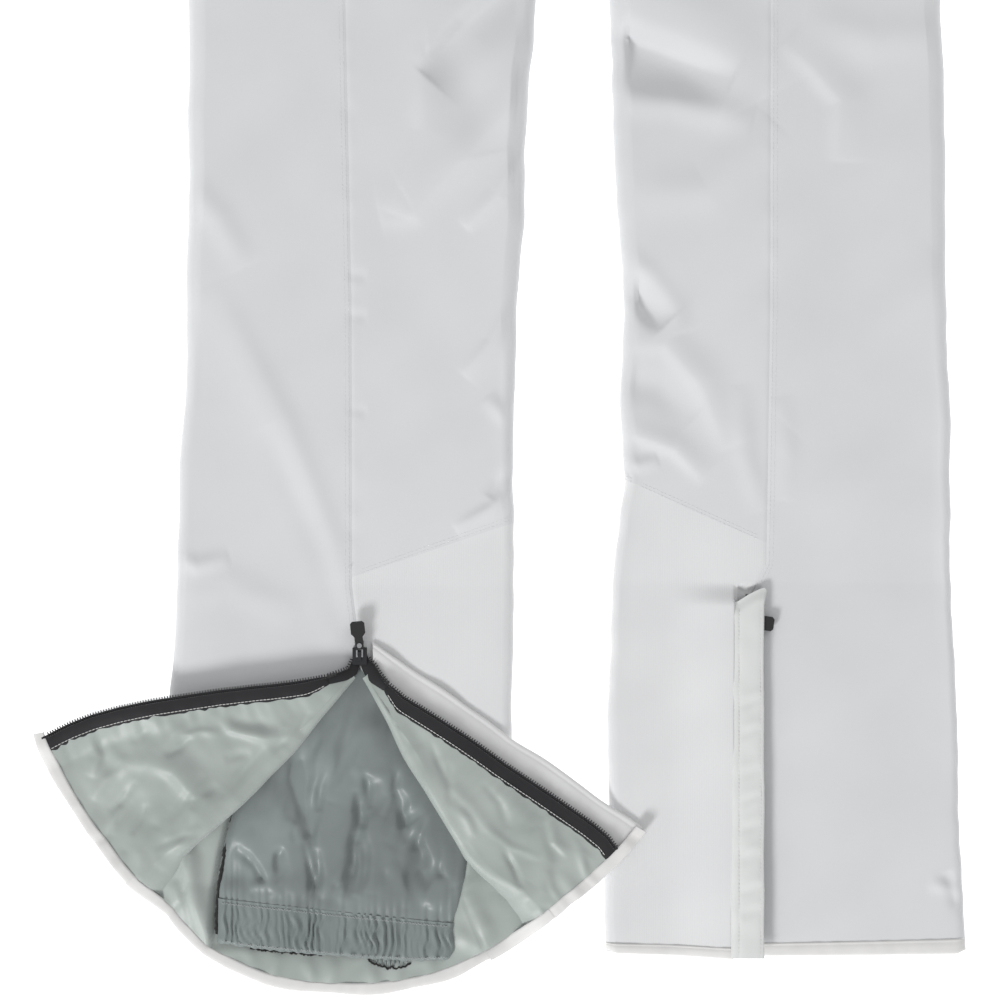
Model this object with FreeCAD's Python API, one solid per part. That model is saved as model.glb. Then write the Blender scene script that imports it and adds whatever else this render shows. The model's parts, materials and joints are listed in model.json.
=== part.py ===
"""Ski pants lying flat on their back, one leg's hem zip open and folded out, as an assembly of sewn pieces.

Garment frame while modelling, in millimetres: X across (the wearer's left leg at +X), Y up the garment
from the hem, Z up off the surface it lies on. The last step moves the middle of the footprint to the origin.
"""

import FreeCAD, Part
import math
import os

V = FreeCAD.Vector
UP = V(0, 0, 1)

# ---- driving dimensions -------------------------------------------------------------------------
SHELL = 1.2            # outer fabric with its membrane
LINING_GAP = 0.3       # free space between sewn layers
LINING = 0.8           # lining fabric
HOLLOW_INSET = SHELL + LINING_GAP + LINING
SIDE_SEAM_Z = 6.5      # the front and back panels meet at this height
HEM_BAND = 8.5         # turned hem
HIP_HEIGHT = 34.0      # thickness of the hip section lying flat
CROTCH_Y = 790.0
WAISTBAND_Y = 1020.0
WAIST_TOP_Y = 1060.0
FAR = 1500.0           # beyond the whole garment, for cutting prisms

# outline stations: (y, outer edge x, inner edge x, lying thickness)
RIGHT_LEG = [
    (0, 276, 24, 13), (180, 270, 25, 13), (262, 267, 30, 13), (334, 265, 35, 17),
    (460, 263, 34, 21), (600, 260, 29, 24), (670, 257, 26, 26), (CROTCH_Y, 264, 3, HIP_HEIGHT),
]
LEFT_LEG = [
    (-40, -284, -46, 14), (215, -280, -41, 14), (260, -278, -41, 14), (334, -273.5, -41, 17),
    (460, -269.5, -37.5, 21), (600, -269, -29, 24), (670, -270, -25, 26), (CROTCH_Y, -268, -3, HIP_HEIGHT),
]
HIPS = [
    (CROTCH_Y, 264, -268, HIP_HEIGHT), (880, 260, -262, HIP_HEIGHT), (960, 240, -242, HIP_HEIGHT),
    (WAISTBAND_Y, 220, -222, HIP_HEIGHT),
]
# the long seam down the middle of each front, (y, x)
RIGHT_SEAM = [(-60, 124), (256, 124), (262, 136), (460, 139), (670, 138), (CROTCH_Y, 136), (WAISTBAND_Y, 118)]
LEFT_SEAM = [(-60, -148.4), (215, -148.4), (260, -155), (460, -154), (670, -158), (CROTCH_Y, -142),
             (WAISTBAND_Y, -120)]
# top edge of the scuff guard: (at the long seam, at the inner edge)
RIGHT_SCUFF = ((139, 290), (20, 334))
LEFT_SCUFF = ((-158, 266), (-20, 304))

# the opened hem of the left leg is a fan about its apex
APEX = V(-148.4, 202, 0)
FAN_R = 230.0
OUTER_ZIP_DEG = 193.0    # direction of the outer half of the zip from the apex
INNER_ZIP_DEG = 325.3
CLOSED_DEG = 270.0       # direction of the closed zip
OUTER_FOLD_DEG = (OUTER_ZIP_DEG + CLOSED_DEG) / 2
INNER_FOLD_DEG = (INNER_ZIP_DEG + CLOSED_DEG) / 2
FOLD_AXIS_Z = 19.45      # a flap turns half a turn about its fold line at this height
FLAP_SHELL_Z = 20.4      # underside of a folded-out flap
FLAP_CHAIN_Z = 22.2
FLAP_LINING_Z = 22.8
FLAP_START = 20.0        # distance from the apex at which the flap fabric begins
FOLD_CLEAR = 2.0         # flap fabric starts this far from its fold line

# zip parts, in the zip's own frame: X across, Y along, Z away from the garment
COIL_IN, COIL_OUT, COIL_HALF = 1.0, 2.6, 1.0
TAPE_OUT, TAPE_HALF = 10.0, 0.25
SLOT_HALF = 6.2
SLIDER_W, SLIDER_L = 10.0, 12.0
PLATE_IN, PLATE_OUT = 1.4, 2.4
BAIL_TOP = 5.2
PIN_Z, PIN_R = 3.3, 0.65
RIVET_D = 7.5            # rivet distance from the pull's pin
RIVET_R, RIVET_HOLE_R = 0.9, 0.97
TAB_LENGTH, TAB_HALF, TAB_THICK = 17.0, 5.0, 1.6
TAB_Z = 0.75             # underside of the pull tab above the pin

RIGHT_CHAIN_X = 124.0
RIGHT_CHAIN_Z = 13.0 + TAPE_HALF
RIGHT_SLIDER_Y = 243.0
RIGHT_ZIP_TOP = 256.0
RIGHT_TAB_DEG = -8.0
LEFT_SLIDER_Y = 211.0
LEFT_SLIDER_Z = 2 * FOLD_AXIS_Z - FLAP_CHAIN_Z    # level of the chain once the flaps are closed
HEM_ZIP_LENGTH = 234.0
STORM_COVER, STORM_ROOT = 10.5, 10.5
RIGHT_STORM_Z = 20.4     # underside, clear of the slider and its pull
STORM_STAND_TOP = 19.2   # the stitched stand that the storm flap turns on
STORM_TURN = 0.7         # gap between the stand's line and the sheet
LEFT_STORM_COVER = 14.0
LEFT_STORM_Z = 14.4

FLY_BOTTOM_Y, FLY_TOP_Y = 880.0, 1012.0
POCKET_X, POCKET_Y, POCKET_LENGTH, POCKET_TILT = 168.0, 930.0, 140.0, 14.0


# ---- helpers ------------------------------------------------------------------------------------
def interpolate(stations, y, column):
    """A station column's value at height y, linear between stations."""
    for low, high in zip(stations, stations[1:]):
        if low[0] <= y <= high[0]:
            share = (y - low[0]) / (high[0] - low[0])
            return low[column] + share * (high[column] - low[column])
    return stations[0][column] if y < stations[0][0] else stations[-1][column]


def stadium(y, x1, x2, z1, z2):
    """Closed flat-sided oval wire in the plane of constant y."""
    x1, x2 = min(x1, x2), max(x1, x2)
    r, zc = (z2 - z1) / 2, (z1 + z2) / 2
    a, b, c, d = V(x1 + r, y, z1), V(x2 - r, y, z1), V(x2 - r, y, z2), V(x1 + r, y, z2)
    return Part.Wire([
        Part.LineSegment(a, b).toShape(),
        Part.Arc(b, V(x2, y, zc), c).toShape(),
        Part.LineSegment(c, d).toShape(),
        Part.Arc(d, V(x1, y, zc), a).toShape(),
    ])


def overrun_rows(stations, overrun):
    """The stations, with their end sections repeated beyond both ends."""
    if not overrun:
        return stations
    first, last = stations[0], stations[-1]
    return [(first[0] - overrun, *first[1:]), *stations, (last[0] + overrun, *last[1:])]


def tube(stations, inset, overrun=0.0):
    """Solid through the stations, its walls moved in by inset and its ends out by overrun."""
    rows = overrun_rows(stations, overrun)
    wires = []
    for y, outer, inner, height in rows:
        low, high = min(outer, inner) + inset, max(outer, inner) - inset
        wires.append(stadium(y, low, high, inset, height - inset))
    return Part.makeLoft(wires, True, True)


def wall(stations, outside, inside):
    """Open-ended tube between two insets."""
    return tube(stations, outside).cut(tube(stations, inside, overrun=5.0))


def prism(points, z1, z2):
    """Upright prism over a polygon given as (x, y) pairs."""
    corners = [V(x, y, z1) for x, y in points]
    return Part.Face(Part.makePolygon(corners + corners[:1])).extrude(V(0, 0, z2 - z1))


def box(x1, x2, y1, y2, z1, z2):
    return Part.makeBox(x2 - x1, y2 - y1, z2 - z1, V(x1, y1, z1))


def rounded_box(x1, x2, y1, y2, z1, z2, radius):
    """Box with its four upright edges rounded."""
    block = box(x1, x2, y1, y2, z1, z2)
    upright = [e for e in block.Edges if abs(e.Vertexes[0].Z - e.Vertexes[1].Z) > (z2 - z1) / 2]
    return block.makeFillet(radius, upright)


def beside(line, side, z1=SIDE_SEAM_Z, z2=100.0):
    """Prism of everything on one side (+1 towards +X, -1 towards -X) of a seam given as (y, x) pairs."""
    edge = [(x, y) for y, x in line]
    edge = [(edge[0][0], -FAR)] + edge + [(edge[-1][0], FAR)]
    return prism(edge + [(side * FAR, FAR), (side * FAR, -FAR)], z1, z2)


def polar(degrees, radius):
    angle = math.radians(degrees)
    return V(radius * math.cos(angle), radius * math.sin(angle), 0)


def fan_disc(radius, z1=-1.0, z2=60.0):
    """Cylinder about the apex of the opened hem."""
    return Part.makeCylinder(radius, z2 - z1, V(APEX.x, APEX.y, z1))


def joined(*shapes):
    """One solid from touching or overlapping solids."""
    return shapes[0].multiFuse(list(shapes[1:])).removeSplitter()


def placed(shape, origin, degrees=0.0):
    """A copy turned about Z and then moved."""
    copy = shape.copy()
    copy.rotate(V(0, 0, 0), UP, degrees)
    copy.translate(origin)
    return copy


# ---- leg and hip panels --------------------------------------------------------------------------
BACK = box(-FAR, FAR, -FAR, FAR, -1, SIDE_SEAM_Z)
RIGHT_HALF = box(0, FAR, -FAR, FAR, -1, 100)
LEFT_HALF = box(-FAR, 0, -FAR, FAR, -1, 100)
RIGHT_HEM = box(-FAR, FAR, -FAR, HEM_BAND, -1, 100)
LEFT_BAND_START = FAN_R - HEM_BAND


def side_wall(leg, half, outside, inside):
    """Leg tube and the hip half above it."""
    hips = wall(HIPS, outside, inside).common(half)
    return joined(wall(leg, outside, inside), hips)


def zip_slot(x, y1, y2, half=SLOT_HALF):
    return box(x - half, x + half, y1, y2, SIDE_SEAM_Z, 60)


def pocket_slot(sign):
    local = box(-SLOT_HALF, SLOT_HALF, -POCKET_LENGTH / 2, POCKET_LENGTH / 2, -8, 4)
    return placed(local, V(sign * POCKET_X, POCKET_Y, HIP_HEIGHT), sign * POCKET_TILT)


def fold_wedge():
    """The part of the left front that is folded away: everything between the two fold lines."""
    reach = 420.0
    left = APEX + polar(OUTER_FOLD_DEG, reach)
    right = APEX + polar(INNER_FOLD_DEG, reach)
    return prism([(APEX.x, APEX.y), (left.x, left.y), (right.x, right.y)], SIDE_SEAM_Z, 60)


def scuff_region(line, x_far):
    """Prism below the slanting top edge of a scuff guard."""
    (x1, y1), (x2, y2) = line
    slope = (y2 - y1) / (x2 - x1)
    far_y = y1 + slope * (x_far - x1)
    return prism([(x1, y1), (x_far, far_y), (x_far, -FAR), (x1, -FAR)], SIDE_SEAM_Z, 100)


FLY_SLOT = zip_slot(0, FLY_BOTTOM_Y, WAISTBAND_Y + 1)


def right_panels():
    """Shell panels, lining and hem band of the leg whose hem lies closed."""
    shell = side_wall(RIGHT_LEG, RIGHT_HALF, 0, SHELL)
    slot = zip_slot(RIGHT_CHAIN_X, -5, RIGHT_ZIP_TOP)
    front = shell.cut(BACK).cut(RIGHT_HEM).cut(slot).cut(FLY_SLOT).cut(pocket_slot(1))
    inner = front.common(beside(RIGHT_SEAM, -1))
    scuff = inner.common(scuff_region(RIGHT_SCUFF, -20))
    root_x = RIGHT_CHAIN_X - STORM_ROOT
    stand = box(root_x - SHELL, root_x, HEM_BAND + 0.5, RIGHT_ZIP_TOP - 1, RIGHT_CHAIN_Z - TAPE_HALF - 0.5, STORM_STAND_TOP)
    scuff = joined(scuff, stand)
    lining = side_wall(RIGHT_LEG, RIGHT_HALF, SHELL + LINING_GAP, HOLLOW_INSET)
    lining = lining.cut(RIGHT_HEM).cut(slot).cut(FLY_SLOT).cut(pocket_slot(1))
    band = wall(RIGHT_LEG, 0, HOLLOW_INSET).common(RIGHT_HEM).cut(slot)
    return {
        "right_front_outer_panel": front.common(beside(RIGHT_SEAM, 1)),
        "right_front_inner_panel": inner.cut(scuff_region(RIGHT_SCUFF, -20)),
        "right_scuff_guard": scuff,
        "right_back_panel": shell.common(BACK).cut(RIGHT_HEM),
        "right_lining": lining,
        "right_hem_band": band,
    }


def left_panels():
    """Shell panels, lining and hem band of the leg whose hem is folded open."""
    shell = side_wall(LEFT_LEG, LEFT_HALF, 0, SHELL)
    wedge = fold_wedge()
    disc = fan_disc(LEFT_BAND_START)
    above = box(-FAR, FAR, APEX.y, FAR, -1, 100)
    kept = joined(disc, above)
    front = shell.cut(BACK).cut(wedge).common(kept).cut(FLY_SLOT).cut(pocket_slot(-1))
    inner = front.common(beside(LEFT_SEAM, 1))
    scuff = scuff_region(LEFT_SCUFF, 20)
    lining = side_wall(LEFT_LEG, LEFT_HALF, SHELL + LINING_GAP, HOLLOW_INSET)
    lining = lining.cut(wedge).common(kept).cut(FLY_SLOT).cut(pocket_slot(-1))
    band = wall(LEFT_LEG, 0, HOLLOW_INSET).common(BACK).common(fan_disc(FAN_R)).cut(kept)
    return {
        "left_front_outer_panel": front.common(beside(LEFT_SEAM, -1)),
        "left_front_inner_panel": inner.cut(scuff),
        "left_scuff_guard": inner.common(scuff),
        "left_back_panel": shell.common(BACK).common(kept),
        "left_lining": lining,
        "left_hem_band": band,
    }


def crotch_gusset():
    """Saddle-shaped web that closes the hips between the tops of the two legs."""
    thick = 1.5
    web = tube(HIPS, HOLLOW_INSET).common(box(-30, 30, CROTCH_Y, CROTCH_Y + thick, -1, 60))
    for leg in (RIGHT_LEG, LEFT_LEG):
        y, outer, inner, height = leg[-1]
        low, high = min(outer, inner) + SHELL, max(outer, inner) - SHELL
        bore = Part.Face(stadium(y, low, high, SHELL, height - SHELL))
        web = web.cut(bore.extrude(V(0, thick + 1, 0)))
    return web


# ---- gaiters --------------------------------------------------------------------------------------
GAITER_WALL = 0.8
GAITER_Z = 2.7
CUFF = 27.0
# (y, outer x, inner x, thickness)
LEFT_GAITER = [(-6, -249, -84, 8.4), (30, -250, -80, 8.4), (80, -250, -70, 8.4), (300, -262, -56, 8.4)]
RIGHT_GAITER = [(14, 240, 62, 7.8), (50, 242, 60, 7.8), (100, 244, 56, 7.8), (300, 250, 50, 7.8)]
ELASTIC = 0.5


def gaiter(stations):
    """Inner gaiter tube and the elastic inside its cuff."""
    def layer(rows, inset, overrun=0.0):
        rows = overrun_rows(rows, overrun)
        wires = [stadium(y, min(o, i) + inset, max(o, i) - inset, GAITER_Z + inset, GAITER_Z + h - inset)
                 for y, o, i, h in rows]
        return Part.makeLoft(wires, True, True)

    y0 = stations[0][0]
    cuff = [stations[0], [y0 + CUFF] + [interpolate(stations, y0 + CUFF, k) for k in (1, 2, 3)]]
    elastic_out = GAITER_WALL + 0.1
    fabric = layer(stations, 0).cut(layer(stations, GAITER_WALL, 5))
    elastic = layer(cuff, elastic_out).cut(layer(cuff, elastic_out + ELASTIC, 5))
    return fabric, elastic


# ---- folded-out flaps of the left hem -------------------------------------------------------------
def wedge_face(start, stop, r1, r2, z):
    """Flat ring sector about the origin between two directions in degrees."""
    low, high = min(start, stop), max(start, stop)
    middle = (low + high) / 2

    def at(degrees, radius):
        return polar(degrees, radius) + V(0, 0, z)

    wire = Part.Wire([
        Part.LineSegment(at(low, r1), at(low, r2)).toShape(),
        Part.Arc(at(low, r2), at(middle, r2), at(high, r2)).toShape(),
        Part.LineSegment(at(high, r2), at(high, r1)).toShape(),
        Part.Arc(at(high, r1), at(middle, r1), at(low, r1)).toShape(),
    ])
    return Part.Face(wire)


def flap_layer(zip_deg, fold_deg, r1, r2, z, thick, back_from_zip):
    """One fabric layer of a flap, set back from the zip line and from the fold line."""
    layer = wedge_face(zip_deg, fold_deg, r1, r2, z).extrude(V(0, 0, thick))
    long = 2 * FAN_R
    sense = 1 if zip_deg < fold_deg else -1
    for degrees, width in ((zip_deg, back_from_zip), (fold_deg, -FOLD_CLEAR)):
        strip = box(-5, long, min(0, sense * width), max(0, sense * width), z - 1, z + thick + 1)
        layer = layer.cut(placed(strip, V(0, 0, 0), degrees))
    layer.translate(V(APEX.x, APEX.y, 0))
    return layer


def along_zip(zip_deg, sense, r1, r2, near, far, z1, z2):
    """Straight strip beside a zip line, from near to far on the flap's side of it."""
    low, high = sorted((sense * near, sense * far))
    return placed(box(r1, r2, low, high, z1, z2), V(APEX.x, APEX.y, 0), zip_deg)


def flaps():
    """The two folded-out halves of the opened hem, with their zip tapes and coils."""
    out = {}
    zip_end = FAN_R - HEM_BAND - 3
    for name, zip_deg, fold_deg in (("outer", OUTER_ZIP_DEG, OUTER_FOLD_DEG),
                                    ("inner", INNER_ZIP_DEG, INNER_FOLD_DEG)):
        sense = 1 if zip_deg < fold_deg else -1
        inner_r = LEFT_BAND_START - 0.3
        out[f"{name}_flap_shell"] = flap_layer(zip_deg, fold_deg, FLAP_START + 12, inner_r, FLAP_SHELL_Z, SHELL, 6)
        out[f"{name}_flap_lining"] = flap_layer(zip_deg, fold_deg, FLAP_START, inner_r, FLAP_LINING_Z, LINING, 10)
        out[f"{name}_flap_hem_band"] = flap_layer(
            zip_deg, fold_deg, LEFT_BAND_START, FAN_R, FLAP_SHELL_Z, FLAP_LINING_Z + LINING - FLAP_SHELL_Z, 1)
        out[f"{name}_zip_tape"] = along_zip(zip_deg, sense, FLAP_START, zip_end, COIL_OUT, TAPE_OUT,
                                            FLAP_CHAIN_Z - TAPE_HALF, FLAP_CHAIN_Z + TAPE_HALF)
        out[f"{name}_zip_coil"] = along_zip(zip_deg, sense, FLAP_START, zip_end, COIL_IN, COIL_OUT,
                                            FLAP_CHAIN_Z - COIL_HALF, FLAP_CHAIN_Z + COIL_HALF)
    return out


def fold_roll(fold_deg, outward):
    """Half tube of fabric that turns over along a fold line, bulging into the open leg."""
    middle_z = (LEFT_LEG[0][3] - SHELL / 2 + FLAP_SHELL_Z + SHELL / 2) / 2
    radius = middle_z - (LEFT_LEG[0][3] - SHELL / 2)
    start, length = FLAP_START + 14, LEFT_BAND_START - FLAP_START - 40
    outer = Part.makeCylinder(radius + SHELL / 2, length, V(start, 0, middle_z), V(1, 0, 0))
    inner = Part.makeCylinder(radius - SHELL / 2, length, V(start, 0, middle_z), V(1, 0, 0))
    half = box(0, 2 * FAN_R, min(0, -9 * outward), max(0, -9 * outward), 0, 60)
    return placed(outer.cut(inner).common(half), V(APEX.x, APEX.y, 0), fold_deg)


def storm_flaps():
    """Flaps that cover the hem zips; the left one has a short wall along its stitched root."""
    root_x, free_x, top = RIGHT_CHAIN_X - STORM_ROOT, RIGHT_CHAIN_X + STORM_COVER, RIGHT_ZIP_TOP + 1
    sheet = box(root_x + STORM_TURN, free_x, 1, top, RIGHT_STORM_Z, RIGHT_STORM_Z + SHELL)
    low, high = FLAP_START + 14, LEFT_BAND_START - 1
    left = along_zip(INNER_ZIP_DEG, -1, low, high, -LEFT_STORM_COVER, STORM_ROOT, LEFT_STORM_Z,
                     LEFT_STORM_Z + SHELL)
    stitch = along_zip(INNER_ZIP_DEG, -1, low + 8, LEFT_BAND_START - 2, STORM_ROOT - 3, STORM_ROOT,
                       LEFT_STORM_Z + SHELL, FLAP_SHELL_Z)
    return {"right_storm_flap": sheet, "left_storm_flap": joined(left, stitch)}


# ---- zip hardware ----------------------------------------------------------------------------------
def slider():
    """Two plates with slotted side lips, a diamond post at the mouth and a bail on top."""
    w, l = SLIDER_W / 2, SLIDER_L / 2
    parts = [box(-w, w, -l, l, PLATE_IN, PLATE_OUT), box(-w, w, -l, l, -PLATE_OUT, -PLATE_IN)]
    for side in (-1, 1):
        x1, x2 = sorted((side * (w - 1), side * w))
        parts += [box(x1, x2, -l, l, 0.6, PLATE_IN), box(x1, x2, -l, l, -PLATE_IN, -0.6)]
    parts.append(box(-0.75, 0.75, -l, -l + 3, -PLATE_IN, PLATE_IN))
    bail = box(-1.1, 1.1, -3.2, 3.2, PLATE_OUT, BAIL_TOP)
    window = box(-2, 2, -2, 2, PLATE_OUT, BAIL_TOP - 0.9)
    body = joined(*parts, bail.cut(window))
    return body.makeFillet(0.5, [e for e in body.Edges if vertical_corner(e, w, l)])


def vertical_corner(edge, w, l):
    """True for the upright edges at the slider plates' four corners."""
    ends = [v.Point for v in edge.Vertexes]
    return len(ends) == 2 and all(
        abs(abs(p.x) - w) < 1e-6 and abs(abs(p.y) - l) < 1e-6 for p in ends) and abs(ends[0].z - ends[1].z) > 0.1


def link(rivet=True):
    """Fork with a pin through the bail, lying along +Y from the pin; the rivet carries the pull tab."""
    pin = Part.makeCylinder(PIN_R, 4.8, V(-2.4, 0, 0), V(1, 0, 0))
    arms = [box(x, x + 1, -PIN_R, RIVET_D, -0.6, 0.6) for x in (-2.4, 1.4)]
    plate = box(-2.4, 2.4, 4.4, RIVET_D + 2.4, -0.6, 0.6)
    parts = [pin, *arms, plate]
    if rivet:
        head = TAB_Z + TAB_THICK + 0.1
        parts.append(Part.makeCylinder(RIVET_R, head, V(0, RIVET_D, 0.3)))
        parts.append(Part.makeCylinder(1.7, 0.45, V(0, RIVET_D, head)))
    return joined(*parts)


def pull_tab(length=TAB_LENGTH):
    """Moulded pull lying along +X from its rivet hole, with a narrow neck and bevelled edges."""
    neck, half = 2.9, TAB_HALF
    outline = [(-neck, -neck), (6, -neck), (8.5, -half), (length - 1.5, -half), (length, -half + 1.5),
               (length, half - 1.5), (length - 1.5, half), (8.5, half), (6, neck), (-neck, neck)]
    body = prism(outline, TAB_Z, TAB_Z + TAB_THICK)
    hole = Part.makeCylinder(RIVET_HOLE_R, 6, V(0, 0, -1))
    return body.cut(hole)


def simple_pull(length=20.0):
    """Fork and flat grip in one piece, for the fly and the pockets, lying along -Y."""
    pull = joined(link(rivet=False), rounded_box(-3.4, 3.4, 8, length, -0.8, 0.8, 1.2))
    pull.rotate(V(0, 0, 0), UP, 180)
    return pull


def closed_chain(length, coil_length):
    """Tapes and coils of a zip that lies closed, about the middle of its length."""
    tapes, coils = [], []
    for side in (-1, 1):
        x1, x2 = sorted((side * COIL_IN, side * COIL_OUT))
        coils.append(box(x1, x2, -coil_length / 2, coil_length / 2, -COIL_HALF, COIL_HALF))
        x1, x2 = sorted((side * COIL_OUT, side * TAPE_OUT))
        tapes.append(box(x1, x2, -length / 2, length / 2, -TAPE_HALF, TAPE_HALF))
    return Part.makeCompound(tapes), Part.makeCompound(coils)


def hem_zips():
    out = {}
    middle = V(RIGHT_CHAIN_X, HEM_BAND + 4 + HEM_ZIP_LENGTH / 2, RIGHT_CHAIN_Z)
    tapes, coils = closed_chain(HEM_ZIP_LENGTH, HEM_ZIP_LENGTH)
    out["right_zip_tapes"], out["right_zip_coils"] = placed(tapes, middle), placed(coils, middle)
    right_slider = V(RIGHT_CHAIN_X, RIGHT_SLIDER_Y, RIGHT_CHAIN_Z)
    out["right_zip_slider"] = placed(slider(), right_slider)
    out["right_pull_link"] = placed(link(), right_slider + V(0, 0, PIN_Z), 180)
    out["right_pull_tab"] = placed(pull_tab(), right_slider + V(0, -RIVET_D, PIN_Z), RIGHT_TAB_DEG)
    left_slider = V(APEX.x, LEFT_SLIDER_Y, LEFT_SLIDER_Z)
    out["left_zip_slider"] = placed(slider(), left_slider)
    out["left_pull_link"] = placed(link(), left_slider + V(0, 0, PIN_Z))
    out["left_pull_tab"] = placed(pull_tab(), left_slider + V(0, RIVET_D, PIN_Z), 96)
    return out


def pocket_zip(sign, node_side):
    """Slanted hand-pocket zip with its slider, pull and bag."""
    centre = V(sign * POCKET_X, POCKET_Y, HIP_HEIGHT + TAPE_HALF)
    turn = sign * POCKET_TILT
    tapes, coils = closed_chain(POCKET_LENGTH + 16, POCKET_LENGTH - 4)
    top = POCKET_LENGTH / 2 - SLIDER_L / 2 - 3
    body = slider()
    body.rotate(V(0, 0, 0), UP, 180)
    body.translate(V(0, top, 0))
    pull = simple_pull()
    pull.translate(V(0, top, PIN_Z))
    bag = box(-40, 60, -90, 74, -24, -5).cut(box(-39.2, 59.2, -89.2, 73.2, -23.2, -5.8))
    bag = bag.cut(box(-SLOT_HALF, SLOT_HALF, -POCKET_LENGTH / 2, POCKET_LENGTH / 2, -7, 0))
    if sign > 0:
        bag = bag.mirror(V(0, 0, 0), V(1, 0, 0))
    shapes = {"pocket_zip_tapes": tapes, "pocket_zip_coils": coils, "pocket_zip_slider": body,
              "pocket_zip_pull": pull, "pocket_bag": bag}
    return {f"{node_side}_{name}": placed(s, centre, turn) for name, s in shapes.items()}


def fly_zip():
    length = FLY_TOP_Y - FLY_BOTTOM_Y - 6
    centre = V(0, (FLY_TOP_Y + FLY_BOTTOM_Y) / 2 + 3, HIP_HEIGHT + TAPE_HALF)
    tapes, coils = closed_chain(length, length)
    body = slider()
    body.rotate(V(0, 0, 0), UP, 180)
    at = V(0, FLY_TOP_Y - SLIDER_L / 2 - 2, HIP_HEIGHT + TAPE_HALF)
    return {
        "fly_zip_tapes": placed(tapes, centre), "fly_zip_coils": placed(coils, centre),
        "fly_zip_slider": placed(body, at), "fly_zip_pull": placed(simple_pull(), at + V(0, 0, PIN_Z)),
    }


def zip_stops():
    """Small crimped stops at the ends of the zips that belong to the garment body."""
    stops = [box(RIGHT_CHAIN_X - 2.6, RIGHT_CHAIN_X + 2.6, RIGHT_ZIP_TOP - 4.5, RIGHT_ZIP_TOP - 2, 13.6, 15.6),
             box(-2.6, 2.6, FLY_BOTTOM_Y - 2.5, FLY_BOTTOM_Y, HIP_HEIGHT, HIP_HEIGHT + 1.6),
             box(APEX.x - 2.6, APEX.x + 2.6, LEFT_SLIDER_Y + 8, LEFT_SLIDER_Y + 10.5, 14, 15.6)]
    return Part.makeCompound(stops)


# ---- waist ------------------------------------------------------------------------------------------
WAIST_LOW, WAIST_HIGH = 2.0, 32.0
LOOP_XS_FRONT = (-150, -62, 62, 150)
LOOP_XS_BACK = (-120, 0, 120)
TAB_LIFT = 0.15          # free space under a sewn tab


def waistband():
    """Padded band around the waist with its overlapped front closing."""
    def ring(inset, overrun):
        wires = []
        for y, half in ((WAISTBAND_Y - overrun, 218.0), (WAIST_TOP_Y + overrun, 212.0)):
            wires.append(stadium(y, -half + inset, half - inset, WAIST_LOW + inset, WAIST_HIGH - inset))
        return Part.makeLoft(wires, True, True)

    band = ring(0, 0).cut(ring(2.6, 5))
    return band.cut(box(-0.5, 0.5, WAISTBAND_Y - 5, WAIST_TOP_Y + 5, 10, 60))


def belt_loops():
    loops = []
    low, high = WAISTBAND_Y + 1, WAIST_TOP_Y - 1
    for x in LOOP_XS_FRONT:
        strap = box(x - 5, x + 5, low, high, WAIST_HIGH + 0.9, WAIST_HIGH + 1.9)
        feet = [box(x - 5, x + 5, y, y + 4, WAIST_HIGH, WAIST_HIGH + 0.9) for y in (low, high - 4)]
        loops.append(joined(strap, *feet))
    for x in LOOP_XS_BACK:
        strap = box(x - 5, x + 5, low, high, 0, 1)
        feet = [box(x - 5, x + 5, y, y + 4, 1, WAIST_LOW) for y in (low, high - 4)]
        loops.append(joined(strap, *feet))
    return Part.makeCompound(loops)


def waist_parts():
    tab_z = WAIST_HIGH + TAB_LIFT
    snap = V(14, 1040, tab_z + 1.5)
    cap = Part.makeCylinder(6.5, 1.6, snap)
    rim = [e for e in cap.Edges if len(e.Vertexes) == 1 and e.CenterOfMass.z > snap.z + 1]
    out = {
        "waistband": waistband(),
        "belt_loops": belt_loops(),
        "closing_tab": rounded_box(-20, 28, WAISTBAND_Y + 4, WAIST_TOP_Y - 2, tab_z, tab_z + 1.5, 6),
        "snap_cap": cap.makeFillet(0.6, rim),
    }
    for side, sign in (("left", -1), ("right", 1)):
        x1, x2 = sorted((sign * 92, sign * 142))
        out[f"{side}_waist_tab"] = rounded_box(x1, x2, 1028, 1052, tab_z, tab_z + 1.5, 5)
    return out


# ---- assembly ---------------------------------------------------------------------------------------
def build():
    nodes = {}
    nodes.update(right_panels())
    nodes.update(left_panels())
    nodes["crotch_gusset"] = crotch_gusset()
    for side, stations in (("left", LEFT_GAITER), ("right", RIGHT_GAITER)):
        nodes[f"{side}_gaiter"], nodes[f"{side}_gaiter_elastic"] = gaiter(stations)
    nodes.update(flaps())
    nodes["outer_flap_fold"] = fold_roll(OUTER_FOLD_DEG, -1)
    nodes["inner_flap_fold"] = fold_roll(INNER_FOLD_DEG, 1)
    nodes.update(storm_flaps())
    nodes.update(hem_zips())
    nodes.update(pocket_zip(1, "right"))
    nodes.update(pocket_zip(-1, "left"))
    nodes.update(fly_zip())
    nodes["zip_stops"] = zip_stops()
    nodes.update(waist_parts())
    whole = Part.makeCompound(list(nodes.values())).optimalBoundingBox(False, False)
    shift = V(-(whole.XMin + whole.XMax) / 2, -(whole.YMin + whole.YMax) / 2, -whole.ZMin)
    for shape in nodes.values():
        shape.translate(shift)
    return nodes, shift


def main():
    os.makedirs("parts", exist_ok=True)
    nodes, shift = build()
    print("shift", [round(c, 4) for c in shift], "nodes", len(nodes))
    for name, shape in sorted(nodes.items()):
        solids = shape.Solids
        tidy = solids[0] if len(solids) == 1 else Part.makeCompound(solids)
        print(f"{name:26s} solids {len(solids)} valid {tidy.isValid()} volume {tidy.Volume:10.1f}")
        tidy.exportStep(f"parts/{name}.step")


main()
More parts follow.
